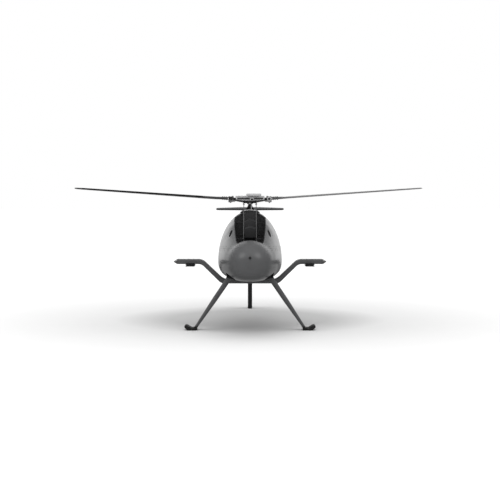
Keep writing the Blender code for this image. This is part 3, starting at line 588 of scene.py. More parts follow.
def carve(piece: bpy.types.Object, cutter: Draft) -> None:
    """Apply a piece's modifiers and cut the volume of a draft out of it.

    Args:
        piece: The piece.
        cutter: The volume to cut away.
    """
    tool = cutter.object("cutter")
    cut = piece.modifiers.new("carve", "BOOLEAN")
    cut.operation = "DIFFERENCE"
    cut.solver = "EXACT"
    cut.object = tool
    bpy.context.view_layer.update()
    carved = bpy.data.meshes.new_from_object(piece.evaluated_get(bpy.context.evaluated_depsgraph_get()))
    piece.modifiers.clear()
    piece.data = carved
    bpy.data.objects.remove(tool, do_unlink=True)


def settle(piece: bpy.types.Object, finish: Finish, replaces: str = "", part: Part = Part.AIRFRAME) -> None:
    """Give a piece its finish and its body, and hide the node it stands for.

    Args:
        piece: The piece.
        finish: The finish that it wears.
        replaces: The frame's node that it stands for, if any.
        part: The body that it moves with.
    """
    piece.data.materials.clear()
    piece.data.materials.append(finish.material())
    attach(piece, part.value)
    if replaces:
        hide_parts(replaces)
    LOG.info("%s rides on %s", piece.name, part.value)


def dress(node: str, finish: Finish) -> None:
    """Give a node that stays in view its finish.

    Args:
        node: The node's name.
        finish: The finish that it wears.
    """
    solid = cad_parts[node]
    solid.data.materials.clear()
    solid.data.materials.append(finish.material())
    LOG.info("%s keeps its solid and gets %s", node, finish.name)


@dataclass
class BodyShape:
    """The body's outer form: a half ellipse over a slightly squarer lower half at every station.

    A station is its y, half width, widest height, top height and bottom height.
    """

    stations: tuple[tuple[float, float, float, float, float], ...] = ((-1.53, 0.0, 0.69, 0.69, 0.69),
        (-1.52, 0.053, 0.694, 0.741, 0.645), (-1.49, 0.103, 0.697, 0.785, 0.597),
        (-1.43, 0.148, 0.697, 0.826, 0.555), (-1.34, 0.186, 0.694, 0.857, 0.5245),
        (-1.24, 0.215, 0.69, 0.88, 0.506), (-1.1, 0.25, 0.682, 0.925, 0.4925),
        (-0.9, 0.285, 0.67, 1.0, 0.4775), (-0.7, 0.305, 0.66, 1.08, 0.4655),
        (-0.5, 0.309, 0.657, 1.134, 0.46), (-0.25, 0.3, 0.664, 1.136, 0.461),
        (0.05, 0.259, 0.695, 1.09, 0.502), (0.36, 0.2, 0.735, 1.01, 0.583),
        (0.7, 0.138, 0.772, 0.924, 0.66), (1.0, 0.092, 0.785, 0.868, 0.704),
        (1.33, 0.062, 0.785, 0.842, 0.728),)
    lower_power: float = 2.47
    mast_y: float = -0.48
    seam_z: float = 0.768
    seam_slope: float = math.tan(math.radians(3.0))
    round_nose: float = 0.04
    nose_flatness: float = 8.2

    def column(self, number: int, y: float) -> float:
        """Read one column of the stations at y along a monotone cubic curve.

        Args:
            number: Which column.
            y: The station.

        Returns:
            The value there.
        """
        places = [row[0] for row in self.stations]
        values = [row[number] for row in self.stations]
        slopes = [(values[i + 1] - values[i]) / (places[i + 1] - places[i]) for i in range(len(places) - 1)]
        tangents = [slopes[0]]
        for before, after in zip(slopes, slopes[1:]):
            tangents.append(0.0 if before * after <= 0.0 else 2.0 * before * after / (before + after))
        tangents.append(slopes[-1])
        i = max(0, min(len(slopes) - 1, sum(1 for place in places if place < y) - 1))
        step = places[i + 1] - places[i]
        t = (y - places[i]) / step
        return (values[i] * (1 + 2 * t) * (1 - t) ** 2 + step * tangents[i] * t * (1 - t) ** 2
            + values[i + 1] * t * t * (3 - 2 * t) + step * tangents[i + 1] * t * t * (t - 1))

    def section(self, y: float) -> tuple[float, float, float, float]:
        """Return half width, widest height, top height and bottom height, rounded at the very nose.

        Args:
            y: The station.

        Returns:
            The four values there.
        """
        nose_y = self.stations[0][0]
        edge_y = nose_y + self.round_nose
        if y >= edge_y:
            return tuple(self.column(number, y) for number in (1, 2, 3, 4))
        depth = max(0.0, y - nose_y)
        flat = self.nose_flatness
        share = math.sqrt((2 * depth - flat * depth ** 2) / (2 * self.round_nose
            - flat * self.round_nose ** 2))
        wide, widest, top, bottom = (self.column(number, edge_y) for number in (1, 2, 3, 4))
        return wide * share, widest, widest + (top - widest) * share, widest - (widest - bottom) * share

    def point(self, y: float, angle: float, proud: float = 0.0) -> Vector:
        """Return a skin point.

        Args:
            y: The station.
            angle: Turn about the body, 0 at port, a quarter turn on top.
            proud: How far it stands off the skin.

        Returns:
            The point.
        """
        wide, widest, top, bottom = self.section(y)
        across, up = math.cos(angle), math.sin(angle)
        if up >= 0.0:
            place = Vector((wide * across, y, widest + (top - widest) * up))
        else:
            power = 2.0 / self.lower_power
            place = Vector((wide * math.copysign(abs(across) ** power, across), y,
                widest - (widest - bottom) * abs(up) ** power))
        return place + self.normal(y, angle) * proud if proud else place

    def normal(self, y: float, angle: float) -> Vector:
        """Return the outward direction of the skin.

        Args:
            y: The station.
            angle: Turn about the body.

        Returns:
            The direction, one metre long.
        """
        step = 0.002
        along = self.point(y + step, angle) - self.point(y - step, angle)
        around = self.point(y, angle + step) - self.point(y, angle - step)
        return along.cross(around).normalized()

    def angle_at(self, y: float, z: float) -> float:
        """Return the angle at which the port side of the skin passes a height.

        Args:
            y: The station.
            z: The height.

        Returns:
            The angle.
        """
        _, widest, top, bottom = self.section(y)
        if z >= widest:
            return math.asin(min(1.0, (z - widest) / (top - widest)))
        return -math.asin(min(1.0, ((widest - z) / (widest - bottom)) ** (self.lower_power / 2)))

    def seam_angle(self, y: float, above: float = 0.0) -> float:
        """Return the angle of the seam between hull and cowl, moved up by a distance."""
        return self.angle_at(y, self.seam_z - (y - self.mast_y) * self.seam_slope + above)

    def top_z(self, x: float, y: float) -> float:
        """Return the height of the upper skin over a point."""
        wide, widest, top, _ = self.section(y)
        return widest + (top - widest) * math.sqrt(max(0.0, 1.0 - (x / wide) ** 2))

    def cast(self, start: Vector, way: Vector, reach: float = 0.2) -> Vector:
        """Return where a line from inside the body leaves its upper skin.

        Args:
            start: A point inside the body.
            way: The line's direction.
            reach: How far the line may go.

        Returns:
            The point on the skin.
        """
        low, high = 0.0, reach
        for _ in range(40):
            middle = (low + high) / 2
            place = start + way * middle
            wide, widest, top, _ = self.section(place.y)
            outside = (place.x / wide) ** 2 + ((place.z - widest) / (top - widest)) ** 2 > 1.0
            low, high = (low, middle) if outside else (middle, high)
        return start + way * low


@dataclass
class Throat:
    """The open throat of the air intake: its ends, and its half width against height."""

    lip_y: float = -1.24
    rear_y: float = -0.535
    floor_z: float = 0.8
    side: tuple[Pair, ...] = ((0.7, 0.104), (0.845, 0.108), (0.862, 0.127), (0.885, 0.1325), (0.94, 0.1435),
        (1.0, 0.151), (1.25, 0.15))

    def half_width(self, z: float) -> float:
        """Return the throat's half width at a height."""
        return read_rows(self.side, z)[0]

    def edge_angle(self, body: BodyShape, y: float) -> float:
        """Return the angle at which the throat's port edge meets the skin, held at its ends outside them.

        Args:
            body: The body's form.
            y: The station.

        Returns:
            The angle.
        """
        y = min(max(y, self.lip_y), self.rear_y)
        low, high = body.seam_angle(y), math.pi / 2
        for _ in range(40):
            middle = (low + high) / 2
            place = body.point(y, middle)
            low, high = (middle, high) if place.x > self.half_width(place.z) else (low, middle)
        return low


@dataclass
class SkinPanels:
    """The painted skins: nose cap, lower hull, upper cowl and tail boom, with real gaps between them."""

    body: BodyShape
    throat: Throat
    slots: "CowlSlots"
    notch: "LegNotch"
    nose_split_y: float = -1.36
    hull_end_y: float = 0.36
    boom_end_y: float = 1.33
    boom_cap: float = 0.018
    gap: float = 0.0011
    ring_gap: float = 0.0004
    skin: float = 0.0115
    edge: float = 0.002
    seam_reach: float = 0.004
    around: int = 96
    middle_z: float = 0.72

    def build(self) -> None:
        """Build the four skins."""
        self.nose_cap()
        self.lower_hull()
        self.upper_cowl()
        self.tail_boom()

    def sheet(self, name: str, rows: list[Ring], open_rows: Sequence[int] = (),
            open_columns: Sequence[int] = ()) -> bpy.types.Object:
        """Make an open sheet from rows of points, and thicken it inwards.

        Args:
            name: The piece's name.
            rows: The rows, each of the same length.
            open_rows: Rows of its opening.
            open_columns: Columns of its opening.

        Returns:
            The thickened piece, not yet settled on its body.
        """
        count = len(rows[0])
        mesh = bpy.data.meshes.new(name)
        faces = [(row * count + column, row * count + column + 1, (row + 1) * count + column + 1,
            (row + 1) * count + column) for row in range(len(rows) - 1) for column in range(count - 1)
            if not (row in open_rows and column in open_columns)]
        mesh.from_pydata([tuple(point) for row in rows for point in row], [], faces)
        shape = bmesh.new()
        shape.from_mesh(mesh)
        bmesh.ops.delete(shape, geom=[vertex for vertex in shape.verts if not vertex.link_faces],
            context="VERTS")
        weights = shape.edges.layers.float.new("bevel_weight_edge")
        for edge in shape.edges:
            if edge.is_boundary:
                edge[weights] = self.edge_share(*(vertex.co for vertex in edge.verts))
        bmesh.ops.recalc_face_normals(shape, faces=shape.faces)
        outward = sum(face.normal.dot(face.calc_center_median() - Vector((0.0, face.calc_center_median().y,
            self.middle_z))) for face in shape.faces)
        if outward < 0.0:
            bmesh.ops.reverse_faces(shape, faces=shape.faces)
        shape.to_mesh(mesh)
        shape.free()
        piece = bpy.data.objects.new(name, mesh)
        bpy.context.collection.objects.link(piece)
        wall = piece.modifiers.new("wall", "SOLIDIFY")
        wall.thickness = self.skin
        wall.offset = -1.0
        wall.use_even_offset = True
        return piece

    def edge_share(self, first: Vector, second: Vector) -> float:
        """Return how much of the full rounding an edge gets: none at the ring joints and at the seam.

        Args:
            first: One end of the edge.
            second: Its other end.

        Returns:
            The share, 0 or 1.
        """
        ends = (self.nose_split_y + self.ring_gap / 2, self.hull_end_y - self.ring_gap / 2)
        if any(max(abs(first.y - y), abs(second.y - y)) < 0.0001 for y in ends):
            return 0.0
        level = self.body.seam_z - ((first.y + second.y) / 2 - self.body.mast_y) * self.body.seam_slope
        return 0.0 if abs((first.z + second.z) / 2 - level) < self.seam_reach else 1.0

    def stations(self, start: float, end: float, step: float, fixed: Sequence[float] = ()) -> list[float]:
        """Return even stations between two ends, close together at the ends and exact at some fixed ones.

        Args:
            start: The first station.
            end: The last station.
            step: About how far apart they are.
            fixed: Stations that must be among them.

        Returns:
            The stations in order.
        """
        fixed = [*fixed, start + 0.002, start + 0.007, end - 0.007, end - 0.002]
        marks = [start, *[y for y in sorted(fixed) if start < y < end], end]
        places = [start]
        for low, high in zip(marks, marks[1:]):
            count = max(1, round((high - low) / step))
            places.extend(low + (high - low) * (index + 1) / count for index in range(count))
        return places

    def nose_cap(self) -> None:
        """Build the round nose, denser towards its tip."""
        draft = Draft()
        nose_y = self.body.stations[0][0]
        end = self.nose_split_y - self.ring_gap / 2
        steps = 34
        places = [nose_y + (end - nose_y) * (1.0 - math.cos(math.pi / 2 * index / steps))
            for index in range(1, steps)]
        places += [end - 0.004, end - 0.0015, end]
        rings = [[self.body.point(y, angle) for angle in turns(self.around)] for y in places]
        inner_end = [self.body.point(end, angle, -self.skin) for angle in turns(self.around)]
        recess = [self.body.point(end - 0.02, angle, -self.skin) for angle in turns(self.around)]
        draft.loft(rings + [inner_end, recess], start_tip=Vector((0.0, nose_y, self.body.section(nose_y)[1])))
        draft.build("nose_cap_skin", BODY_PAINT, "nose_cap", smooth=40.0)

    def lower_hull(self) -> None:
        """Build the hull below the seam."""
        rows = []
        for y in self.stations(self.nose_split_y + self.ring_gap / 2, self.hull_end_y - self.ring_gap / 2,
                0.022):
            start = self.body.seam_angle(y, -self.gap / 2)
            rows.append([self.body.point(y, start - (math.pi + 2 * start) * column / self.around)
                for column in range(self.around + 1)])
        piece = self.sheet("lower_hull_skin", rows)
        round_edges(piece, self.edge, 2, 40.0, weighted=True)
        carve(piece, self.notch.cutter())
        settle(piece, BODY_PAINT, "lower_hull")

    def upper_cowl(self) -> None:
        """Build the cowl above the seam, open along the throat and pierced by the two slots."""
        side_columns, top_columns = 28, 30
        places = self.stations(self.nose_split_y + self.ring_gap / 2, self.hull_end_y - self.ring_gap / 2,
            0.02, (self.throat.lip_y, self.throat.rear_y))
        rows = []
        for y in places:
            start, edge = self.body.seam_angle(y, self.gap / 2), self.throat.edge_angle(self.body, y)
            angles = [start + (edge - start) * column / side_columns for column in range(side_columns)]
            angles += [edge + (math.pi - 2 * edge) * column / top_columns
                for column in range(top_columns + 1)]
            angles += [math.pi - angle for angle in reversed(angles[:side_columns])]
            rows.append([self.body.point(y, angle) for angle in angles])
        first_row, last_row = places.index(self.throat.lip_y), places.index(self.throat.rear_y)

        piece = self.sheet("upper_cowl_skin", rows, range(first_row, last_row),
            range(side_columns, side_columns + top_columns))
        round_edges(piece, self.edge, 3, 40.0, weighted=True)
        carve(piece, self.slots.cutter())
        settle(piece, BODY_PAINT, "upper_cowl")

    def tail_boom(self) -> None:
        """Build the boom behind the hull, with its rounded end."""
        draft = Draft()
        start = self.hull_end_y + self.ring_gap / 2
        rings = [[self.body.point(start, angle, -self.skin) for angle in turns(self.around)]]
        rings += [[self.body.point(y, angle) for angle in turns(self.around)]
            for y in self.stations(start, self.boom_end_y, 0.025)]
        widest = self.body.section(self.boom_end_y)[1]
        for index in range(1, 6):
            share = math.cos(math.pi / 2 * index / 6)
            y = self.boom_end_y + self.boom_cap * math.sin(math.pi / 2 * index / 6)
            rings.append([Vector((point.x * share, y, widest + (point.z - widest) * share))
                for point in rings[-index]])
        draft.loft(rings, end_tip=Vector((0.0, self.boom_end_y + self.boom_cap, widest)))
        draft.build("tail_boom_skin", BODY_PAINT, "tail_boom", smooth=40.0)


@dataclass
class CowlSlots:
    """The slanted oval slot in each side of the cowl, with its rolled rim and a black-lined duct whose black is
    painted shade inside the slot.
    """

    body: BodyShape
    centre: Triple = (0.1812, -0.8858, 0.9297)
    along: Triple = (-0.141, 0.873, 0.466)
    outward: Triple = (0.67, -0.263, 0.695)
    half_length: float = 0.0626
    half_width: float = 0.0171
    rim: float = 0.0009
    duct_depth: float = 0.018

    def oval(self, side: Side, grow: float, depth: float, steps: int = 40) -> Ring:
        """Return the slot's outline on the skin.

        Args:
            side: Which side it is on.
            grow: How much larger than the slot it is.
            depth: How far it lies under the skin.
            steps: How many points it has.

        Returns:
            The ring of points.
        """
        centre, along, outward = (side.point(place) for place in (self.centre, self.along, self.outward))
        along.normalize()
        outward.normalize()
        across = along.cross(outward).normalized()
        ring = []
        for angle in turns(steps):
            start = (centre - outward * 0.09 + along * ((self.half_length + grow) * math.cos(angle))
                + across * ((self.half_width + grow) * math.sin(angle)))
            ring.append(self.body.cast(start, outward) - outward * depth)
        return ring

    def cutter(self) -> Draft:
        """Return the volume of both slots.

        Returns:
            The draft of the volume.
        """
        draft = Draft()
        for side in Side:
            draft.loft([self.oval(side, 0.0, -0.01), self.oval(side, 0.0, 0.04)])
        return draft

    def build(self) -> None:
        """Build the rims, and the ducts behind the slots, lined black from the surface inwards as painted
        shade.
        """
        for side in Side:
            rim = Draft()
            rim.tube(self.oval(side, self.rim, -0.0001, 56), self.rim, 8, closed=True)
            rim.build("slot_rim", BODY_PAINT, side=side)
            # The duct's black walls, starting right at the skin, are painted shade inside the slot.
            duct = Draft()
            walls = [self.oval(side, grow, depth) for grow, depth in ((0.0006, 0.0004), (-0.0004, 0.0006),
                (-0.0004, self.duct_depth), (0.002, self.duct_depth + 0.002))]
            duct.loft(walls, capped=False)
            duct.loft(walls[2:])
            duct.build("slot_duct_painted_shade", THROAT_PLASTIC, side=side)


@dataclass
class LegNotch:
    """The notch in each side of the belly that a leg's bracket fills, and the sloping seat that it offers."""

    outline: tuple[Pair, ...] = ((0.137, 0.4), (0.137, 0.5196), (0.18, 0.552), (0.226, 0.579),
        (0.214, 0.52), (0.214, 0.4))
    front_y: float = -1.25
    rear_y: float = -0.69
    seat_start: Pair = (0.137, 0.487)
    seat_slope: float = 0.2472

    def cutter(self) -> Draft:
        """Return the volume of both notches.

        Returns:
            The draft of the volume.
        """
        draft = Draft()
        for side in Side:
            draft.prism([(side.value * x, z) for x, z in self.outline], self.front_y, self.rear_y)
        return draft

    def seat_z(self, x: float) -> float:
        """Return the height of the seat at a distance from the middle."""
        return self.seat_start[1] + (abs(x) - self.seat_start[0]) * self.seat_slope


@dataclass
class SkinFittings:
    """Small things on the skins: seals in the gaps, screws along the seam, and the collar at the mast."""

    body: BodyShape
    throat: Throat
    seal_radius: float = 0.0034
    seal_depth: float = 0.0062
    seal_start: float = -1.352
    seal_length: float = 1.706
    screw_radius: float = 0.0044
    screw_spacing: float = 0.118
    screw_offset: float = 0.016
    screw_ends: Pair = (-1.3, 0.3)
    joint_screws: Pair = (0.345, 0.376)
    collar_outer: float = 0.0965
    collar_bore: float = 0.031
    collar_rise: float = 0.0142
    collar_shift: float = 0.01
    collar_front: float = -0.5346
    strip_half: float = 0.06
    strip_inset: float = -0.0006
    strip_radius: float = 0.0044

    def build(self) -> None:
        """Build the seals, the screws and the collar."""
        self.seals()
        self.screws()
        self.collar()

    def seals(self) -> None:
        """Lay a rubber seal behind each gap between the skins."""
        draft = Draft()
        places = [self.seal_start + self.seal_length * index / 60 for index in range(61)]
        for mirror in (False, True):
            path = []
            for y in places:
                angle = self.body.seam_angle(y)
                path.append(self.body.point(y, math.pi - angle if mirror else angle, -self.seal_depth))
            draft.tube(path, self.seal_radius, 8)
        draft.build("panel_seals", BOOT_RUBBER)

    def screws(self) -> None:
        """Set flush screws along both seams and round the two joints of the hull."""
        draft = Draft()
        spots: list[Pair] = []
        count = int((self.screw_ends[1] - self.screw_ends[0]) / self.screw_spacing)
        for index in range(count + 1):
            y = self.screw_ends[0] + self.screw_spacing * index
            for above in (self.screw_offset, -self.screw_offset):
                angle = self.body.seam_angle(y, above)
                spots.extend(((y, angle), (y, math.pi - angle)))
        for y in self.joint_screws:
            spots.extend((y, angle + 0.13) for angle in turns(14))
        for y, angle in spots:
            screw_head(draft, facing(self.body.point(y, angle), self.body.normal(y, angle)),
                self.screw_radius)
        draft.build("panel_screws", DARK_METAL)

    def collar(self) -> None:
        """Build the black collar round the mast, and the pale strip on its front edge, which is a painted
        highlight along that edge.
        """
        outer, bore, rise = self.collar_outer, self.collar_bore, self.collar_rise
        profile = ((outer, 0.0006), (outer - 0.0004, 0.005), (outer - 0.0014, 0.0094),
            (outer - 0.002, 0.011), (outer - 0.0048, 0.013), (outer - 0.01, rise), (0.062, rise + 0.0003),
            (bore + 0.004, rise), (bore + 0.001, rise - 0.0008), (bore, rise - 0.003), (bore, 0.0006),
            (0.06, 0.0006))
        rings = [self.collar_ring(radius, lift) for radius, lift in profile]
        draft = Draft()
        draft.loft(rings + [rings[0]], capped=False)
        draft.build("mast_collar_fairing", THROAT_PLASTIC, "mast_collar", smooth=60.0)
        # The pale strip is a painted highlight along the collar's front edge.
        strip = Draft()
        y = self.collar_front + self.strip_inset
        path = [Vector((x, y, self.body.top_z(x, y) + rise)) for x in (self.strip_half * (index / 12 - 1.0)
            for index in range(25))]
        strip.tube(path, self.strip_radius, 10)
        strip.build("mast_collar_strip", COLLAR_HIGHLIGHT_PAINT)

    def collar_ring(self, radius: float, lift: float) -> Ring:
        """Return one ring of the collar, cut off flat at the throat.

        Args:
            radius: The ring's radius.
            lift: How far it stands over the cowl.

        Returns:
            The ring of points.
        """
        share = (radius - self.collar_bore) / (self.collar_outer - self.collar_bore)
        front = self.collar_front + 0.6 * min(0.01, self.collar_outer - radius)
        ring = []
        for angle in turns(96):
            x = radius * math.cos(angle)
            y = max(front, self.body.mast_y + self.collar_shift * share + radius * math.sin(angle))
            ring.append(Vector((x, y, self.body.top_z(x, y) + lift)))
        return ring


@dataclass
class ThroatFittings:
    """What fills the back of the throat: shroud, screens, servos and control rods."""

    body: BodyShape
    throat: Throat
    half: float = 0.054
    arch: float = 0.018
    shroud_rise: float = 0.013
    steps: tuple[Pair, ...] = ((0.99, -0.655), (1.06, -0.612), (1.1395, -0.572))
    foot_z: float = 0.88
    fillet: float = 0.016
    screen_foot: Pair = (-0.665, 0.8003)
    screen_top: Pair = (-0.552, 1.15)
    wire: float = 0.0006
    braces: Pair = (0.905, 1.022)
    pitch: float = 0.0052
    servo_axle: Triple = (0.069, -0.745, 0.822)
    rod_foot: Triple = (0.0617, -0.745, 0.846)
    rod_top: Triple = (0.06, -0.548, 1.1988)
    rod_radius: float = 0.0028

    def build(self) -> None:
        """Build the fittings of both sides."""
        dress("throat_tray", THROAT_PLASTIC)
        self.shroud()
        for side in Side:
            self.screen(side)
            self.servo(side)
            self.control_rod(side)

    def shroud(self) -> None:
        """Build the centre shroud: three stepped faces with large rounded tops, and dark strips of painted
        shade at the foot of each upper riser.
        """
        draft = Draft()
        rings = []
        columns = 20
        for index in range(columns + 1):
            across = 2.0 * index / columns - 1.0
            x, drop = self.half * across, self.arch * across ** 2
            ring = [Vector((x, self.throat.rear_y, self.foot_z)), Vector((x, self.steps[0][1], self.foot_z))]
            for number, (top, face) in enumerate(self.steps):
                back = self.steps[number + 1][1] if number + 1 < len(self.steps) else self.throat.rear_y
                depth = (back - face) * 0.85
                for turn in range(9):
                    angle = math.pi / 2 * turn / 8
                    ring.append(Vector((x, face + depth * (1.0 - math.cos(angle)),
                        top - drop - self.fillet * (1.0 - math.sin(angle)))))
            ring.append(Vector((x, self.throat.rear_y, self.steps[-1][0] - drop)))
            for point in ring:
                point.z = min(point.z, self.body.top_z(point.x, point.y) + self.shroud_rise)
            rings.append(ring)
        draft.loft(rings)
        draft.build("intake_shroud_panel", SHROUD_PLASTIC, "intake_shroud", bevel=0.0012)
        # Dark rubber strips at the foot of each upper riser are painted shade for the recess under the step
        # above.
        shadow = Draft()
        for (top, _), (_, face) in zip(self.steps, self.steps[1:]):
            arc = []
            for index in range(columns + 1):
                across = 2.0 * index / columns - 1.0
                arc.append((self.half * across * 0.985, top - self.arch * across ** 2))
            outline = [(x, z - 0.002) for x, z in arc] + [(x, z + 0.01) for x, z in reversed(arc)]
            shadow.prism(outline, face - 0.0014, face + 0.005)
        shadow.build("shroud_step_painted_shade", BOOT_RUBBER, bevel=0.0006)
        back = Draft()
        back.block((-self.half, -0.612, self.throat.floor_z + 0.0004),
            (self.half, -0.6, self.foot_z - 0.0004))
        back.build("shroud_back_plate", THROAT_PLASTIC, bevel=0.001)

    @property
    def screen_length(self) -> float:
        """The length of a screen up its slope."""
        return math.dist(self.screen_foot, self.screen_top)

    def screen_place(self, x: float, up: float, out: float = 0.0) -> Vector:
        """Return a point on the sloping front of a screen, at a distance up it and out of it.

        Args:
            x: Distance from the middle.
            up: Distance up the slope.
            out: Distance out of it.

        Returns:
            The point.
        """
        (foot_y, foot_z), (top_y, top_z) = self.screen_foot, self.screen_top
        along_y, along_z = (top_y - foot_y) / self.screen_length, (top_z - foot_z) / self.screen_length
        return Vector((x, foot_y + along_y * up - along_z * out, foot_z + along_z * up + along_y * out))

    def screen_reach(self, up: float) -> float:
        """Return the half width to which a screen reaches at a distance up its slope.

        Args:
            up: Distance up the slope.

        Returns:
            The half width.
        """
        place = self.screen_place(0.0, up)
        wide, widest, top, _ = self.body.section(place.y)
        share = (place.z + 0.004 - widest) / (top - widest)
        under_skin = wide * math.sqrt(max(0.0, 1.0 - share ** 2))
        return min(self.throat.half_width(place.z) - 0.0015, under_skin)

    def screen(self, side: Side) -> None:
        """Build one screen: woven wires in a frame, with a dark filter behind them.

        Args:
            side: Which side it is on.
        """
        inner = self.half + 0.0015
        levels = [0.004 + 0.008 * index for index in range(60)]
        levels = [up for up in levels if self.screen_reach(up) > inner + 0.006]
        filter_pad = Draft()
        filter_pad.loft([[self.screen_place(side.value * x, up, out) for x, out in ((inner, -0.004),
            (self.screen_reach(up), -0.004), (self.screen_reach(up), -0.012), (inner, -0.012))]
            for up in levels])
        filter_pad.build("intake_filter", THROAT_PLASTIC, "intake_mesh", side)
        wires = Draft()
        up = levels[0] + self.pitch
        number = 0
        while up < levels[-1]:
            reach = self.screen_reach(up)
            count = max(2, int((reach - inner) / (self.pitch / 2)))
            wires.tube([self.screen_place(side.value * (inner + (reach - inner) * step / count), up,
                0.0007 * (-1) ** (step + number)) for step in range(count + 1)], self.wire, 4)
            up += self.pitch
            number += 1
        x = inner + self.pitch
        while x < max(self.screen_reach(level) for level in levels) - self.pitch / 2:
            spans = [level for level in levels if self.screen_reach(level) > x]
            wires.tube([self.screen_place(side.value * x, level, 0.0) for level in (spans[0], spans[-1])],
                self.wire, 4)
            x += self.pitch
        wires.build("intake_wires", SCREEN_WIRE, side=side)
        rim = Draft()
        outline = [self.screen_place(side.value * inner, level, 0.0006) for level in levels]
        outline += [self.screen_place(side.value * self.screen_reach(level), level, 0.0006)
            for level in reversed(levels)]
        rim.tube(outline, 0.0026, 8, closed=True)
        for z in self.braces:
            level = (z - self.screen_foot[1]) * self.screen_length / (self.screen_top[1]
                - self.screen_foot[1])
            rim.tube([self.screen_place(side.value * place, level, 0.001)
                for place in (inner, self.screen_reach(level))], 0.003, 8)
        rim.build("intake_rim", SHROUD_PLASTIC, side=side)

    def servo(self, side: Side) -> None:
        """Build one servo: case, lid, ears, screws, and the arm that drives its rod.

        Args:
            side: Which side it is on.
        """
        sign = side.value
        low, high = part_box(f"servo_{side.word}")
        case = Draft()
        lid = high.z - 0.014
        case.block(low, (high.x, high.y, lid - 0.0006))
        case.block((low.x + 0.0008, low.y + 0.0008, lid), (high.x - 0.0008, high.y - 0.0008, high.z - 0.002))
        case.build("servo_case", FITTING_PLASTIC, "servo", side, bevel=0.0016)
        plate = Draft()
        inner, outer = sorted((sign * 0.0585, sign * 0.1215))
        plate.block((inner, low.y + 0.004, high.z - 0.0018), (outer, high.y - 0.004, high.z + 0.0006))
        for x in (sign * 0.0645, sign * 0.113):
            for y in (low.y + 0.014, high.y - 0.014):
                screw_head(plate, shift(x, y, high.z + 0.0006), 0.0034)
        plate.build("servo_plate", DULL_METAL, side=side, bevel=0.0005)
        arm = Draft()
        axle = side.point(self.servo_axle)
        arm.bar(axle + Vector((sign * 0.0008, 0.0, 0.0)), axle - Vector((sign * 0.0052, 0.0, 0.0)), 0.0075)
        turn = Matrix.Translation(axle - Vector((sign * 0.003, 0.0, 0.0)))
        arm.prism([(-0.0018, -0.006), (0.0018, -0.006), (0.0018, 0.026), (-0.0018, 0.026)], -0.0045, 0.0045,
            turn)
        arm.build("servo_arm", DULL_METAL, side=side, bevel=0.0006)

    def control_rod(self, side: Side) -> None:
        """Build one control rod: tube, threaded ends, lock nuts, and a ball end top and bottom.

        Args:
            side: Which side it is on.
        """
        sign = side.value
        bottom, top = side.point(self.rod_foot), side.point(self.rod_top)
        ahead = (top - bottom).normalized()
        length = (top - bottom).length
        draft = Draft()
        draft.bar(bottom + ahead * 0.034, top - ahead * 0.034, self.rod_radius, sides=20)
        for start, way in ((bottom, ahead), (top, -ahead)):
            draft.bar(start + way * 0.006, start + way * 0.036, 0.0022, sides=14)
            draft.bar(start + way * 0.026, start + way * 0.0305, 0.0042, sides=6)
            draft.bar(start + way * 0.004, start + way * 0.02, 0.0036, sides=16)
        cuff = length * 0.5
        draft.bar(bottom + ahead * (cuff - 0.012), bottom + ahead * (cuff + 0.012), 0.0033, sides=20)
        draft.bar((sign * 0.0545, bottom.y, bottom.z), (sign * 0.07, bottom.y, bottom.z), 0.0042, sides=14)
        for place, axis in ((bottom, Vector((1.0, 0.0, 0.0))), (top, Vector((0.0, 0.0, 1.0)))):
            draft.turned([(0.0048, -0.0042), (0.0086, -0.0034), (0.0094, 0.0), (0.0086, 0.0034),
                (0.0048, 0.0042)], 24, facing(place, axis))
        draft.bar(top - Vector((0.0, 0.0, 0.007)), (top.x, top.y, 1.2095), 0.0032, sides=14)
        draft.bar((top.x, top.y, 1.205), (top.x, top.y, 1.2095), 0.0062, sides=6)
        draft.build("control_link", ROD_PAINT, "control_rod", side, bevel=0.0004)


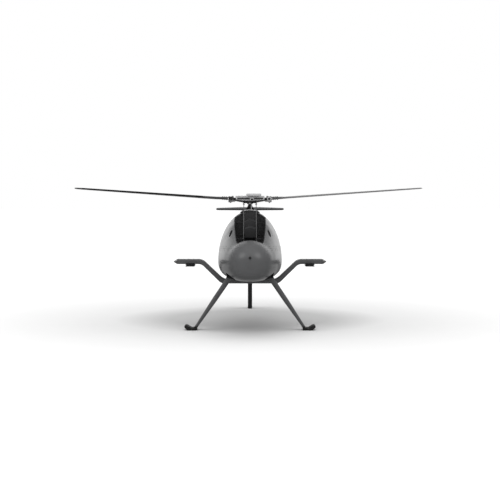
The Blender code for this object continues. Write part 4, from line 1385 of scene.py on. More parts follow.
@dataclass
class MastBase:
    """What stands still round the mast: rubber boot, clamp, and the fixed half of the swashplate."""

    mast_y: float = -0.48
    base_z: float = 1.147
    ear: Triple = (0.06, -0.068, 0.0)
    top_z: float = 1.1955
    boot_side: tuple[Pair, ...] = ((1.147, 0.0525), (1.154, 0.044), (1.16, 0.036), (1.167, 0.03),
        (1.174, 0.0262), (1.1815, 0.0232), (1.189, 0.0203), (1.196, 0.018))

    def build(self) -> None:
        """Build the boot with its clamps, and the fixed swashplate with its metal neck."""
        stand = shift(0.0, self.mast_y, 0.0)
        outer = [(0.0535, self.base_z), (0.053, self.base_z + 0.001)]
        folds = 30
        for index in range(folds + 1):
            height = self.base_z + 0.0016 + (self.top_z - 0.003 - self.base_z) * index / folds
            ripple = 0.0007 * math.sin(math.tau * index / 6.0)
            outer.append((read_rows(self.boot_side, height)[0] + ripple, min(height, self.top_z - 0.0014)))
        outer.append((0.0182, self.top_z))
        inner = [(0.016, self.top_z), (0.0185, 1.176), (0.026, 1.16), (0.047, self.base_z)]
        boot = Draft()
        boot.turned(outer + inner, 48, stand, open_ends=True)
        boot.build("mast_boot_rubber", BOOT_RUBBER, "mast_boot", smooth=60.0)
        clamp = Draft()
        ring = [Vector((0.0188 * math.cos(angle), self.mast_y + 0.0188 * math.sin(angle),
            self.top_z - 0.003)) for angle in turns(48)]
        clamp.tube(ring, 0.0012, 8, closed=True)
        clamp.turned([(0.0162, 1.1966), (0.0178, 1.1966), (0.0186, 1.1975), (0.0186, 1.2056),
            (0.0178, 1.2095), (0.0162, 1.2095)], 48, stand, open_ends=True)
        clamp.build("swashplate_neck", HEAD_METAL, bevel=0.0004)
        self.fixed_plate(stand)
        self.guide()

    def fixed_plate(self, stand: Matrix) -> None:
        """Build the fixed half of the swashplate: a shallow cup with an ear over each control rod.

        Args:
            stand: The matrix of the mast's axis.
        """
        plate = Draft()
        plate.turned([(0.0192, 1.1968), (0.0225, 1.197), (0.029, 1.208), (0.055, 1.2098), (0.0602, 1.2108),
            (0.062, 1.2122), (0.0614, 1.2138), (0.06, 1.2147), (0.0192, 1.2147)], 72, stand, open_ends=True)
        for side in Side:
            reach = side.point(self.ear)
            across = Vector((-reach.y, reach.x, 0.0)).normalized()
            outline = []
            for share, half in ((0.45, 0.0095), (1.02, 0.0085), (1.09, 0.006), (1.11, 0.0)):
                outline.append(reach * share + across * half)
            outline += [reach * 1.09 - across * 0.006, reach * 1.02 - across * 0.0085,
                reach * 0.45 - across * 0.0095]
            plate.loft([[Vector((point.x, self.mast_y + point.y, z)) for point in outline]
                for z in (1.2099, 1.2146)])
        plate.build("swashplate_fixed_ring", FITTING_PLASTIC, "swashplate_fixed", smooth=50.0)

    def guide(self) -> None:
        """Build the pale boss at the plate's front, and the pin that keeps the plate from turning."""
        boss = Draft()
        boss.turned([(0.015, 1.202), (0.0165, 1.203), (0.016, 1.205), (0.011, 1.21), (0.0085, 1.2135),
            (0.0075, 1.2145)], 32, shift(0.0, self.mast_y - 0.068, 0.0))
        boss.build("swashplate_front_boss", CAP_PAINT, smooth=50.0)
        pin = Draft()
        pin.bar((0.013, self.mast_y - 0.049, 1.144), (0.013, self.mast_y - 0.049, 1.21), 0.004)
        pin.build("swashplate_guide_pin", CAP_PAINT, bevel=0.0005)


@dataclass
class RotorHead:
    """The turning head: mast, rotating swashplate, yoke, teeter pin, cap, grips and pitch links."""

    mast_y: float = -0.48
    yaw: float = math.radians(3.8)
    feather_z: float = 1.2392
    coning: float = math.radians(3.9)
    yoke_half: float = 0.139
    yoke_top: float = 0.018
    yoke_foot: float = 0.0135
    yoke_depth: float = 0.036
    yoke_low: float = 1.2325
    yoke_high: float = 1.28
    pin_x: float = 0.016
    pin_z: float = 1.245
    cap_x: float = 0.037
    cap_clearance: float = 0.079
    cap_screws: float = 0.043
    top_bolts: Triple = (0.046, 0.078, 0.11)
    bolt_row: float = 0.022
    face_bolts: Pair = (0.055, 0.1)
    blade_bolts: Pair = (0.186, 0.204)
    post_x: float = 0.17
    link_start: Triple = (0.128, 0.048, 1.2385)
    link_end: Triple = (0.2, 0.0535, 1.229)
    horn_route: tuple[Triple, ...] = ((0.148, 0.027, -0.0205), (0.153, 0.029, -0.0209),
        (0.16, 0.0325, -0.0215), (0.172, 0.035, -0.0228), (0.187, 0.0372, -0.0244),
        (0.201, 0.0392, -0.0258), (0.2055, 0.04, -0.0262))
    dish_radius: float = 0.146
    plate_outline: tuple[Pair, ...] = ((0.158, 0.017), (0.163, 0.021), (0.209, 0.021), (0.214, 0.017),
        (0.206, -0.012), (0.193, -0.038), (0.186, -0.042), (0.179, -0.038), (0.166, -0.012))
    eye: Pair = (0.186, -0.001)
    eye_radius: float = 0.013

    @property
    def place(self) -> Matrix:
        """The matrix from the head's own frame to the world."""
        return shift(0.0, self.mast_y, 0.0) @ Matrix.Rotation(self.yaw, 4, "Z")

    def blade_place(self, side: Side) -> Matrix:
        """Return the matrix of one blade: its X runs outwards along the coned feather axis.

        Args:
            side: Which blade it is.

        Returns:
            The matrix.
        """
        turn = Matrix.Rotation(0.0 if side is Side.PORT else math.pi, 4, "Z")
        lift = shift(0.0, 0.0, self.feather_z) @ Matrix.Rotation(-self.coning, 4, "Y")
        return self.place @ turn @ lift

    def build(self) -> None:
        """Build every piece of the head."""
        self.mast()
        self.rotating_plate()
        self.yoke()
        self.pin()
        self.cap()
        for side in Side:
            self.grip(side)
            self.pitch_link(side)

    def mast(self) -> None:
        """Build the mast, with a shoulder under the yoke."""
        draft = Draft()
        draft.turned([(0.013, 1.0603), (0.014, 1.0613), (0.014, 1.21), (0.0138, 1.2105), (0.0138, 1.2312),
            (0.0128, 1.2322)], 40, self.place)
        draft.build("mast_shaft", STEEL, "main_mast", part=Part.MAIN_ROTOR, smooth=50.0)

    def rotating_plate(self) -> None:
        """Build the rotating swashplate, a shallow black dish, with a bowed strap at each face of the yoke."""
        draft = Draft()
        flat, rim, low, rise = 0.062, self.dish_radius, 1.2152, 0.0148
        under = [(0.0145, low)]
        under += [(flat + (rim - 0.0008 - flat) * share, low + rise * share ** 1.12)
            for share in (index / 16 for index in range(17))]
        draft.turned(under + [(rim, 1.2305), (rim - 0.0004, 1.2314), (rim - 0.002, 1.2317),
            (0.1005, 1.2317), (0.1, 1.2322), (0.0145, 1.2322)], 96, self.place, open_ends=True)
        draft.build("swashplate_dish", FITTING_PLASTIC, "swashplate_rotating", part=Part.MAIN_ROTOR,
            smooth=50.0)
        strap = Draft()
        reach, steps = 0.142, 28
        for face in (-1, 1):
            inner, outer = face * (self.yoke_depth + 0.0012), face * (self.yoke_depth + 0.0038)
            rings = []
            for index in range(steps + 1):
                share = 2.0 * index / steps - 1.0
                x, bottom, top = reach * share, 1.232 + 0.003 * share ** 2, 1.2323 + 0.0122 * share ** 2
                rings.append(moved([Vector((x, inner, bottom)), Vector((x, outer, bottom)),
                    Vector((x, outer, top)), Vector((x, inner, top))], self.place))
            strap.loft(rings)
        strap.build("swashplate_straps", FITTING_PLASTIC, part=Part.MAIN_ROTOR, bevel=0.0006, smooth=50.0)

    def yoke(self) -> None:
        """Build the yoke: top and bottom plates, bright end blocks, a hub block, and dark straps in its
        windows, painted shade for the window pockets.
        """
        draft = Draft()
        half, depth, low, high = self.yoke_half, self.yoke_depth, self.yoke_low, self.yoke_high
        draft.block((-half + 0.004, -depth, high - self.yoke_top), (half - 0.004, depth, high), self.place)
        draft.block((-half + 0.004, -depth, low), (half - 0.004, depth, low + self.yoke_foot), self.place)
        draft.block((self.pin_x - 0.02, -depth + 0.001, low + 0.004), (self.pin_x + 0.022, depth - 0.001,
            high - 0.006), self.place)
        draft.build("yoke_plates", YOKE_PAINT, "hub_yoke", part=Part.MAIN_ROTOR, bevel=0.0016, segments=3)
        ends = Draft()
        for sign in (-1, 1):
            inner, outer = sorted((sign * (half - 0.013), sign * half))
            ends.block((inner, -depth - 0.0008, low + 0.0012), (outer, depth + 0.0008, high - 0.0016),
                self.place)
            for y in (-0.024, 0.024):
                head = self.place @ shift(sign * (half - 0.0065), y, high - 0.0016)
                ends.turned([(0.0052, -0.001), (0.0052, 0.0012), (0.0042, 0.0018)], 6, head)
        ends.build("yoke_ends", END_PAINT, part=Part.MAIN_ROTOR, bevel=0.0012)
        # The straps fill the yoke's windows in dark grey: painted shade for the window pockets.
        straps = Draft()
        for sign in (-1, 1):
            inner, outer = sorted((sign * 0.002, sign * (half - 0.0125)))
            straps.block((inner, -0.022, low + self.yoke_foot - 0.0001),
                (outer, 0.022, high - self.yoke_top + 0.0001), self.place)
            for number in range(3):
                base = low + self.yoke_foot + 0.0006 + number * 0.0049
                straps.block((inner, -0.026, base), (outer, 0.026, base + 0.004), self.place)
        straps.build("yoke_window_straps_painted_shade", STRAP_SHADE_PAINT, part=Part.MAIN_ROTOR, bevel=0.0005)
        bolts = Draft()
        for sign in (-1, 1):
            for x in self.top_bolts:
                for y in (-self.bolt_row, self.bolt_row):
                    if math.hypot(sign * x - self.cap_x, y) < self.cap_clearance:
                        continue
                    bolts.turned([(0.0058, -0.001), (0.0058, 0.001), (0.0046, 0.0016)], 6,
                        self.place @ shift(sign * x, y, high))
            for x in self.face_bolts:
                head = self.place @ shift(sign * x, -depth, low + 0.0048)
                bolts.turned([(0.003, 0.0), (0.003, 0.0022), (0.0022, 0.0028)], 12,
                    head @ Matrix.Rotation(math.pi / 2, 4, "X"))
        bolts.build("yoke_bolts", STEEL, part=Part.MAIN_ROTOR, bevel=0.0004)

    def pin(self) -> None:
        """Build the teeter pin: a hollow pin in a flanged bearing at each face of the yoke."""
        draft = Draft()
        for sign in (-1, 1):
            face = self.place @ shift(self.pin_x, sign * self.yoke_depth,
                self.pin_z) @ Matrix.Rotation(-sign * math.pi / 2, 4, "X")
            draft.turned([(0.02, -0.001), (0.02, 0.0036), (0.0186, 0.005), (0.015, 0.0056), (0.0138, 0.01),
                (0.0104, 0.01), (0.01, 0.0092), (0.01, -0.001)], 40, face, open_ends=True)
        draft.build("teeter_bearings", CAP_PAINT, part=Part.MAIN_ROTOR, smooth=40.0)
        core = Draft()
        core.bar(self.place @ Vector((self.pin_x, -self.yoke_depth - 0.004, self.pin_z)),
            self.place @ Vector((self.pin_x, self.yoke_depth + 0.004, self.pin_z)), 0.0096, sides=32)
        core.build("teeter_core", FITTING_PLASTIC, "teeter_pin", part=Part.MAIN_ROTOR, bevel=0.0006)

    def cap(self) -> None:
        """Build the round cap, pale, with a rolled edge and a ring of screws."""
        place = self.place @ shift(self.cap_x, 0.0, 0.0)
        draft = Draft()
        draft.turned([(0.07, 1.2803), (0.0722, 1.2808), (0.0728, 1.283), (0.0728, 1.296), (0.072, 1.2995),
            (0.0698, 1.302), (0.066, 1.3034), (0.056, 1.304), (0.055, 1.3032), (0.03, 1.3032),
            (0.029, 1.304), (0.024, 1.304)], 72, place)
        draft.build("hub_cap_drum", CAP_PAINT, "hub_cap", part=Part.MAIN_ROTOR, smooth=45.0)
        screws = Draft()
        ring = self.cap_screws
        for angle in turns(8):
            seat = place @ shift(ring * math.cos(angle), ring * math.sin(angle), 1.3031)
            screw_head(screws, seat, 0.0034)
        screws.build("hub_cap_screws", STEEL, part=Part.MAIN_ROTOR)

    def grip(self, side: Side) -> None:
        """Build one blade grip: a forged block that ends in two fork plates, with its horn, eye plate and post.

        Args:
            side: Which grip it is.
        """
        place = self.blade_place(side)
        neck = Draft()
        neck.block((0.1385, -0.0225, -0.0125), (0.162, 0.0225, 0.0135), place)
        neck.build("grip_neck", FITTING_PLASTIC, side=side, part=Part.MAIN_ROTOR, bevel=0.002, segments=3)
        body = Draft()
        body.block((0.16, -0.0235, -0.0135), (0.176, 0.0245, 0.016), place)
        body.block((0.17, -0.024, 0.0118), (0.2145, 0.026, 0.0196), place)
        body.block((0.17, -0.024, -0.0148), (0.2145, 0.026, -0.0066), place)
        body.build("grip_block", GRIP_PAINT, "blade_grip", side, part=Part.MAIN_ROTOR, bevel=0.0022,
            segments=3)
        self.grip_hardware(side, place)
        self.grip_horn(side, place)
        self.eye_plate(side, place)

    def grip_hardware(self, side: Side, place: Matrix) -> None:
        """Put the blade bolts through the fork, and the post with its nut on top of the grip.

        Args:
            side: Which grip it is.
            place: The matrix of its blade.
        """
        draft = Draft()
        for x in self.blade_bolts:
            for top, sign in ((0.0196, 1), (-0.0148, -1)):
                head = place @ facing((x, 0.0, top), (0.0, 0.0, sign))
                draft.turned([(0.0078, 0.0), (0.0078, 0.0014), (0.006, 0.0016), (0.006, 0.0038),
                    (0.005, 0.0046)], 6, head)
        post = place @ shift(self.post_x, 0.0, 0.0)
        draft.turned([(0.0095, 0.015), (0.0095, 0.0195), (0.007, 0.0205), (0.007, 0.0245), (0.0078, 0.025),
            (0.0078, 0.0285), (0.0062, 0.0295)], 24, post)
        draft.build("grip_hardware", GRIP_PAINT, side=side, part=Part.MAIN_ROTOR, bevel=0.0004, smooth=40.0)

    def grip_horn(self, side: Side, place: Matrix) -> None:
        """Bend the pitch horn round the grip's rear corner, down to the pitch link.

        Args:
            side: Which grip it is.
            place: The matrix of its blade.
        """
        horn = Draft()
        horn.tube([place @ Vector(point) for point in self.horn_route], 0.0066, 18)
        horn.block((0.161, 0.017, -0.0255), (0.175, 0.033, -0.0125), place)
        horn.turned([(0.005, -0.006), (0.0086, -0.0054), (0.0098, 0.0), (0.0086, 0.0054), (0.005, 0.006)],
            28, place @ facing(self.horn_route[-1], (0.0, 1.0, 0.0)))
        horn.build("grip_horn", CAP_PAINT, side=side, part=Part.MAIN_ROTOR, smooth=50.0)

    def eye_plate(self, side: Side, place: Matrix) -> None:
        """Build the pale plate at the grip's leading side, with its arm to the yoke and the bush in its eye.

        Args:
            side: Which grip it is.
            place: The matrix of its blade.
        """
        plate = Draft()
        outline = filleted([*self.plate_outline, self.plate_outline[0]], (0.0,) + (0.006,) * 8 + (0.0,))[:-1]
        plate.prism(outline, -0.0375, -0.025, place)
        plate.prism([(0.1475, -0.0245), (0.1475, -0.015), (0.176, -0.0175), (0.181, -0.029)], -0.0365,
            -0.0235, place)
        plate.build("grip_plate", PLATE_PAINT, side=side, part=Part.MAIN_ROTOR, bevel=0.0016, segments=3)
        eye = place @ facing((self.eye[0], -0.0375, self.eye[1]), (0.0, -1.0, 0.0))
        ring = Draft()
        edge = self.eye_radius
        ring.turned([(edge + 0.0062, -0.001), (edge + 0.0058, 0.0012), (edge + 0.004, 0.0022),
            (edge + 0.0008, 0.0022), (edge, 0.0014), (edge, -0.001)], 40, eye, open_ends=True)
        ring.build("grip_eye", CAP_PAINT, side=side, part=Part.MAIN_ROTOR, smooth=40.0)
        bush = Draft()
        bush.turned([(edge - 0.0003, -0.0008), (edge - 0.0006, 0.0008), (0.0072, 0.0014), (0.0066, 0.0006),
            (0.006, -0.0008)], 32, eye, open_ends=True)
        bush.turned([(0.0058, -0.0008), (0.0056, 0.0016), (0.0044, 0.0024)], 6, eye)
        bush.build("grip_bush", FITTING_PLASTIC, side=side, part=Part.MAIN_ROTOR, smooth=40.0)

    def pitch_link(self, side: Side) -> None:
        """Build one pitch link: a foot on the dish, a short rod with lock nuts, and its two eyes.

        Args:
            side: Which grip it turns.
        """
        turn = self.place @ Matrix.Rotation(0.0 if side is Side.PORT else math.pi, 4, "Z")
        draft = Draft()
        for y in (0.0405, 0.052):
            draft.block((0.1185, y, 1.232), (0.1365, y + 0.0035, 1.243), turn)
        start, end = turn @ Vector(self.link_start), turn @ Vector(self.link_end)
        ahead = (end - start).normalized()
        draft.bar(start + ahead * 0.012, end - ahead * 0.01, 0.0038, sides=16)
        for at in (start + ahead * 0.018, end - ahead * 0.022):
            draft.bar(at, at + ahead * 0.0045, 0.0056, sides=6)
        for at in (start, end):
            draft.turned([(0.003, -0.0036), (0.0074, -0.003), (0.008, 0.0), (0.0074, 0.003),
                (0.003, 0.0036)], 20, facing(at, (0.0, 1.0, 0.0)))
        draft.build("pitch_rod", HEAD_METAL, "pitch_link", side, part=Part.MAIN_ROTOR, bevel=0.0004)


@dataclass
class Aerofoil:
    """A wing section with a round nose and a thin tail."""

    points: int = 16
    upper_share: float = 0.58

    def half_height(self, along: float) -> float:
        """Return half the section's height at a share of the chord, as a share of the thickness."""
        return 5.0 * (0.2969 * math.sqrt(along) - 0.126 * along - 0.3516 * along ** 2 + 0.2843 * along ** 3
            - 0.1015 * along ** 4)

    def outline(self, chord: float, thickness: float) -> list[Pair]:
        """Return pairs of distance behind the nose and height, once round the section.

        Args:
            chord: Its length.
            thickness: Its greatest thickness.

        Returns:
            The outline, from the tail over the top to the nose and back below.
        """
        halves = []
        for index in range(self.points + 1):
            along = (1.0 - math.cos(math.pi * index / self.points)) / 2.0
            halves.append((along * chord, max(self.half_height(along), 0.012) * thickness if index else 0.0))
        top = [(along, height * 2.0 * self.upper_share) for along, height in reversed(halves)]
        return top + [(along, -height * 2.0 * (1.0 - self.upper_share)) for along, height in halves[1:]]


    def ring(self, radius: float, size: Pair, nose: float, pitch: float) -> Ring:
        """Return one ring of a blade in its own frame.

        Args:
            radius: Distance from the middle of the rotor.
            size: Chord and thickness.
            nose: How far the nose lies ahead of the pitch axis.
            pitch: The section's angle to the disc.

        Returns:
            The ring of points.
        """
        flat, rise = math.cos(pitch), math.sin(pitch)
        return [Vector((radius, (nose - along) * flat - height * rise,
            (nose - along) * rise + height * flat)) for along, height in self.outline(*size)]


@dataclass
class MainBlades:
    """The two tapered, twisted blades, with nose strips, tip caps and root plates."""

    head: RotorHead
    root: float = 0.2153
    tip: float = 1.7
    tip_split: float = 1.64
    plan: tuple[Triple, ...] = ((0.2153, 0.062, 0.026), (0.25, 0.072, 0.025), (0.29, 0.098, 0.022),
        (0.33, 0.118, 0.019), (0.42, 0.124, 0.0172), (0.9, 0.112, 0.0155), (1.4, 0.098, 0.0145),
        (1.64, 0.09, 0.0135), (1.682, 0.08, 0.012), (1.7, 0.05, 0.008))
    root_pitch: float = 7.0
    twist: float = 2.5
    cyclic: float = 2.8
    taper_end: float = 0.42
    twist_start: float = 0.215
    strip_start: float = 0.46
    root_bolts: tuple[Pair, ...] = ((0.229, 0.004), (0.248, 0.004), (0.268, 0.012), (0.268, -0.016))

    def shape(self, radius: float) -> Pair:
        """Return chord and thickness at a radius.

        Args:
            radius: Distance from the mast.

        Returns:
            Chord and thickness there.
        """
        for (low, chord, thick), (high, next_chord, next_thick) in zip(self.plan, self.plan[1:]):
            if radius <= high:
                share = (radius - low) / (high - low)
                share = share * share * (3.0 - 2.0 * share) if high < self.taper_end else share
                return chord + (next_chord - chord) * share, thick + (next_thick - thick) * share
        return self.plan[-1][1:]

    def section(self, side: Side, radius: float, proud: float = 0.0) -> list[Vector]:
        """Return one ring of a blade in its own frame, grown by a distance.

        Args:
            side: Which blade it is.
            radius: Distance from the mast.
            proud: How far it stands off the blade.

        Returns:
            The ring of points.
        """
        chord, thickness = self.shape(radius)
        share = (radius - self.twist_start) / (self.tip - self.twist_start)
        lead = self.cyclic if side is Side.STARBOARD else -self.cyclic
        pitch = math.radians(self.root_pitch + lead - self.twist * share)
        size = (chord + 2 * proud, thickness + 2 * proud)
        return Aerofoil().ring(radius, size, 0.25 * chord + proud, pitch)

    def rings(self, side: Side, start: float, end: float, count: int, proud: float = 0.0) -> list[Ring]:
        """Return rings between two radii in the world.

        Args:
            side: Which blade it is.
            start: The inner radius.
            end: The outer radius.
            count: How many steps there are.
            proud: How far they stand off the blade.

        Returns:
            The rings, from the root outwards.
        """
        place = self.head.blade_place(side)
        radii = [start + (end - start) * index / count for index in range(count + 1)]
        return [moved(self.section(side, radius, proud), place) for radius in radii]

    def build(self) -> None:
        """Build both blades."""
        for side in Side:
            blade = Draft()
            blade.loft(self.rings(side, self.root, self.taper_end, 14) + self.rings(side,
                self.taper_end + 0.02, self.tip_split - 0.0004, 46))
            blade.build("blade", BLADE_LAMINATE, "main_blade", side, part=Part.MAIN_ROTOR, smooth=50.0)
            cap = Draft()
            cap.loft(self.rings(side, self.tip_split + 0.0004, self.tip, 14))
            cap.build("blade_tip", BLADE_LAMINATE, side=side, part=Part.MAIN_ROTOR, smooth=50.0)
            self.nose_strip(side)
            self.root_fittings(side)

    def nose_strip(self, side: Side) -> None:
        """Wrap a thin metal strip round the blade's nose.

        Args:
            side: Which blade it is on.
        """
        draft = Draft()
        points = Aerofoil().points
        wrap = range(points - 4, points + 5)
        rings = []
        start, end = self.strip_start, self.tip_split - 0.012
        for outer, inner in zip(self.rings(side, start, end, 40, 0.0005),
                self.rings(side, start, end, 40, 0.00005)):
            rings.append([outer[index] for index in wrap] + [inner[index] for index in reversed(wrap)])
        draft.loft(rings)
        draft.build("blade_nose_strip", DARK_METAL, side=side, part=Part.MAIN_ROTOR, smooth=50.0)

    def root_fittings(self, side: Side) -> None:
        """Build the root plates with their bolts.

        Args:
            side: Which blade they are on.
        """
        place = self.head.blade_place(side)
        plates = Draft()
        for proud, start, end in ((0.0011, 0.2162, 0.272), (0.0006, 0.272, 0.318)):
            plates.loft(self.rings(side, start, end, 6, proud))
        plates.build("blade_root_plates", BLADE_LAMINATE, side=side, part=Part.MAIN_ROTOR, bevel=0.0003,
            smooth=50.0)
        bolts = Draft()
        for radius, y in self.root_bolts:
            height = self.shape(radius)[1] * 0.5 + 0.0012
            for sign in (1, -1):
                seat = place @ facing((radius, y, sign * height * (1.1 if sign > 0 else 0.8)),
                    (0.0, 0.0, sign))
                bolts.turned([(0.0062, -0.003), (0.0062, 0.0012), (0.0048, 0.0014), (0.0048, 0.0036),
                    (0.004, 0.0042)], 6, seat)
        bolts.build("blade_root_bolts", STEEL, side=side, part=Part.MAIN_ROTOR, bevel=0.0003)


@dataclass
class TailSurfaces:
    """Upper fin, tailplane on top of it, ventral fin and the shoe that it stands on."""

    upper_levels: tuple[tuple[float, float, float, float], ...] = ((0.8, 1.075, 1.345, 0.036),
        (0.86, 1.12, 1.365, 0.034), (1.0, 1.235, 1.42, 0.03), (1.098, 1.315, 1.465, 0.028))
    lower_levels: tuple[tuple[float, float, float, float], ...] = ((0.0206, 1.15, 1.28, 0.048),
        (0.3, 1.095, 1.27, 0.05), (0.79, 0.985, 1.262, 0.0515))
    plane_spans: tuple[tuple[float, float, float, float, float], ...] = ((0.0, 1.31, 1.555, 0.044, 1.119),
        (0.12, 1.335, 1.548, 0.038, 1.1205), (0.372, 1.405, 1.52, 0.0275, 1.1163),
        (0.3865, 1.425, 1.505, 0.02, 1.1163))
    tip_round: float = 0.01
    screw_x: float = 0.03
    screw_y: Triple = (1.36, 1.42, 1.48)

    def fin(self, rows: Sequence[tuple[float, float, float, float]], count: int) -> Draft:
        """Return a fin made of level sections between the lowest and the highest row.

        Args:
            rows: Height, leading edge, trailing edge and thickness.
            count: How many steps it has.

        Returns:
            The draft of the fin.
        """
        section = Aerofoil(upper_share=0.5)
        rings = []
        for index in range(count + 1):
            z = rows[0][0] + (rows[-1][0] - rows[0][0]) * index / count
            lead, trail, thickness = read_rows(rows, z)
            rings.append([Vector((height, lead + along, z)) for along, height in section.outline(trail
                - lead, thickness)])
        draft = Draft()
        draft.loft(rings)
        return draft

    def build(self) -> None:
        """Build the fins, the tailplane and the shoe."""
        self.fin(self.upper_levels, 24).build("upper_fin_skin", FIN_PAINT, "upper_fin", bevel=0.0008)
        self.fin(self.lower_levels, 40).build("ventral_fin_skin", VENTRAL_PAINT, "ventral_fin", bevel=0.0008)
        self.tailplane()
        self.shoe()

    def tailplane(self) -> None:
        """Build the tailplane in one sweep from tip to tip, with rounded tips."""
        section = Aerofoil(upper_share=0.5)
        rings = []
        tip = self.plane_spans[-1][0]
        inner = [tip - self.tip_round - (tip - self.tip_round) * index / 20 for index in range(21)]
        port = [tip - self.tip_round + self.tip_round * math.cos(math.pi / 2 * turn / 6)
            for turn in range(7)] + inner[1:]
        for x in [-x for x in port[:-1]] + list(reversed(port)):
            lead, trail, thickness, height = read_rows(self.plane_spans, min(abs(x), tip - self.tip_round))
            past = max(0.0, abs(x) - tip + self.tip_round) / self.tip_round
            closing = math.sqrt(max(0.0, 1.0 - past ** 2))
            middle, half = (lead + trail) / 2, (trail - lead) / 2 * (0.84 + 0.16 * closing)
            rings.append([Vector((x, middle - half + along, height + up))
                for along, up in section.outline(2 * half, thickness * (0.25 + 0.75 * closing))])
        draft = Draft()
        draft.loft(rings)
        draft.build("tailplane_skin", FIN_PAINT, "tailplane", smooth=50.0)
        strip = Draft()
        for x in (-self.screw_x, self.screw_x):
            lead, trail, thickness, height = read_rows(self.plane_spans, abs(x))
            for y in self.screw_y:
                along = (y - lead) / (trail - lead)
                half = section.half_height(along) * thickness
                screw_head(strip, shift(x, y, height + half - 0.0004), 0.004)
        strip.build("tailplane_screws", DARK_METAL)

    def shoe(self) -> None:
        """Build the rubber shoe that the ventral fin stands on, with grooves along its sides."""
        low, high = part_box("tail_shoe")
        draft = Draft()
        rings = []
        levels = ((0.0, 0.66, -0.012), (0.0035, 0.9, -0.003), (0.007, 1.0, 0.0), (0.0095, 1.0, 0.0),
            (0.0105, 0.93, -0.001), (0.012, 0.93, -0.001), (0.013, 1.0, 0.0), (0.0185, 1.0, 0.0),
            (0.02, 0.92, -0.002))
        half, middle, reach = (high.x - low.x) / 2, (low.y + high.y) / 2, (high.y - low.y) / 2
        for z, share, longer in levels:
            rings.append([Vector((half * share * math.copysign(abs(math.cos(angle)) ** 0.35,
                math.cos(angle)), middle + (reach + longer) * math.copysign(abs(math.sin(angle)) ** 0.55,
                math.sin(angle)), z)) for angle in turns(40)])
        draft.loft(rings)
        draft.build("tail_shoe_rubber", BOOT_RUBBER, "tail_shoe", smooth=50.0)


@dataclass
class TailRotor:
    """Tail gearbox, and the two-blade tail rotor on its shaft."""

    hub_y: float = 1.225
    hub_z: float = 0.785
    disc_x: float = 0.108
    pitch: float = math.radians(9.0)
    plan: tuple[Triple, ...] = ((0.0403, 0.028, 0.014), (0.075, 0.05, 0.009), (0.262, 0.05, 0.006),
        (0.28, 0.034, 0.004))

    @property
    def shaft_place(self) -> Matrix:
        """The matrix of a Z axis that runs along the shaft to port."""
        return shift(0.0, self.hub_y, self.hub_z) @ Matrix.Rotation(math.pi / 2, 4, "Y")

    def build(self) -> None:
        """Build the gearbox, the hub and the blades."""
        case = Draft()
        profile = [(0.0335, 0.058)]
        for index in range(4):
            start = 0.062 + index * 0.004
            profile += [(0.0335, start), (0.03, start + 0.0006), (0.03, start + 0.0022),
                (0.0335, start + 0.0028)]
        profile += [(0.0335, 0.0795), (0.032, 0.0815), (0.02, 0.0818), (0.019, 0.0818)]
        case.turned(profile, 48, self.shaft_place)
        for angle in turns(6):
            place = self.shaft_place @ shift(0.0265 * math.cos(angle), 0.0265 * math.sin(angle), 0.0816)
            case.turned([(0.0034, 0.0), (0.0034, 0.0004)], 12, place)
        case.build("tail_gearbox_case", DARK_METAL, "tail_gearbox", smooth=35.0)
        hub = Draft()
        hub.turned([(0.009, 0.0824), (0.01, 0.0832), (0.01, 0.137), (0.009, 0.138)], 32, self.shaft_place)
        hub.block((0.0955, self.hub_y - 0.0155, self.hub_z - 0.0395), (0.1205, self.hub_y + 0.0155,
            self.hub_z + 0.0395))
        hub.block((0.1285, self.hub_y - 0.0085, self.hub_z - 0.0335), (0.1335, self.hub_y + 0.0085,
            self.hub_z + 0.0335))
        for sign in (-1, 1):
            foot = Vector((0.131, self.hub_y + sign * 0.004, self.hub_z + sign * 0.029))
            hub.bar(foot, (0.113, self.hub_y + sign * 0.012, self.hub_z + sign * 0.034), 0.0032, sides=12)
            for z in (0.022, 0.033):
                hub.turned([(0.0046, 0.0), (0.0046, 0.003), (0.0036, 0.0038)], 6,
                    facing((0.1205, self.hub_y, self.hub_z + sign * z), (1.0, 0.0, 0.0)))
        hub.build("tail_hub_block", HEAD_METAL, "tail_rotor_hub", part=Part.TAIL_ROTOR, bevel=0.0012)
        for name, sign in (("upper", 1), ("lower", -1)):
            self.blade(name, sign)

    def blade(self, name: str, sign: int) -> None:
        """Build one tail blade.

        Args:
            name: The blade's name.
            sign: 1 for the upper blade, -1 for the lower.
        """
        centre = shift(self.disc_x, self.hub_y, self.hub_z)
        place = centre @ Matrix.Rotation(-sign * math.pi / 2, 4, "Y")
        rows = []
        for (low, chord, thick), (high, next_chord, next_thick) in zip(self.plan, self.plan[1:]):
            for index in range(8):
                share = index / 8
                rows.append((low + (high - low) * share, chord + (next_chord - chord) * share,
                    thick + (next_thick - thick) * share))
        rows.append(self.plan[-1])
        draft = Draft()
        draft.loft([moved(Aerofoil().ring(radius, (chord, thick), chord / 2, self.pitch), place)
            for radius, chord, thick in rows])
        draft.build(f"tail_rotor_blade_{name}", BLADE_LAMINATE, f"tail_blade_{name}", part=Part.TAIL_ROTOR,
            bevel=0.0004, smooth=50.0)


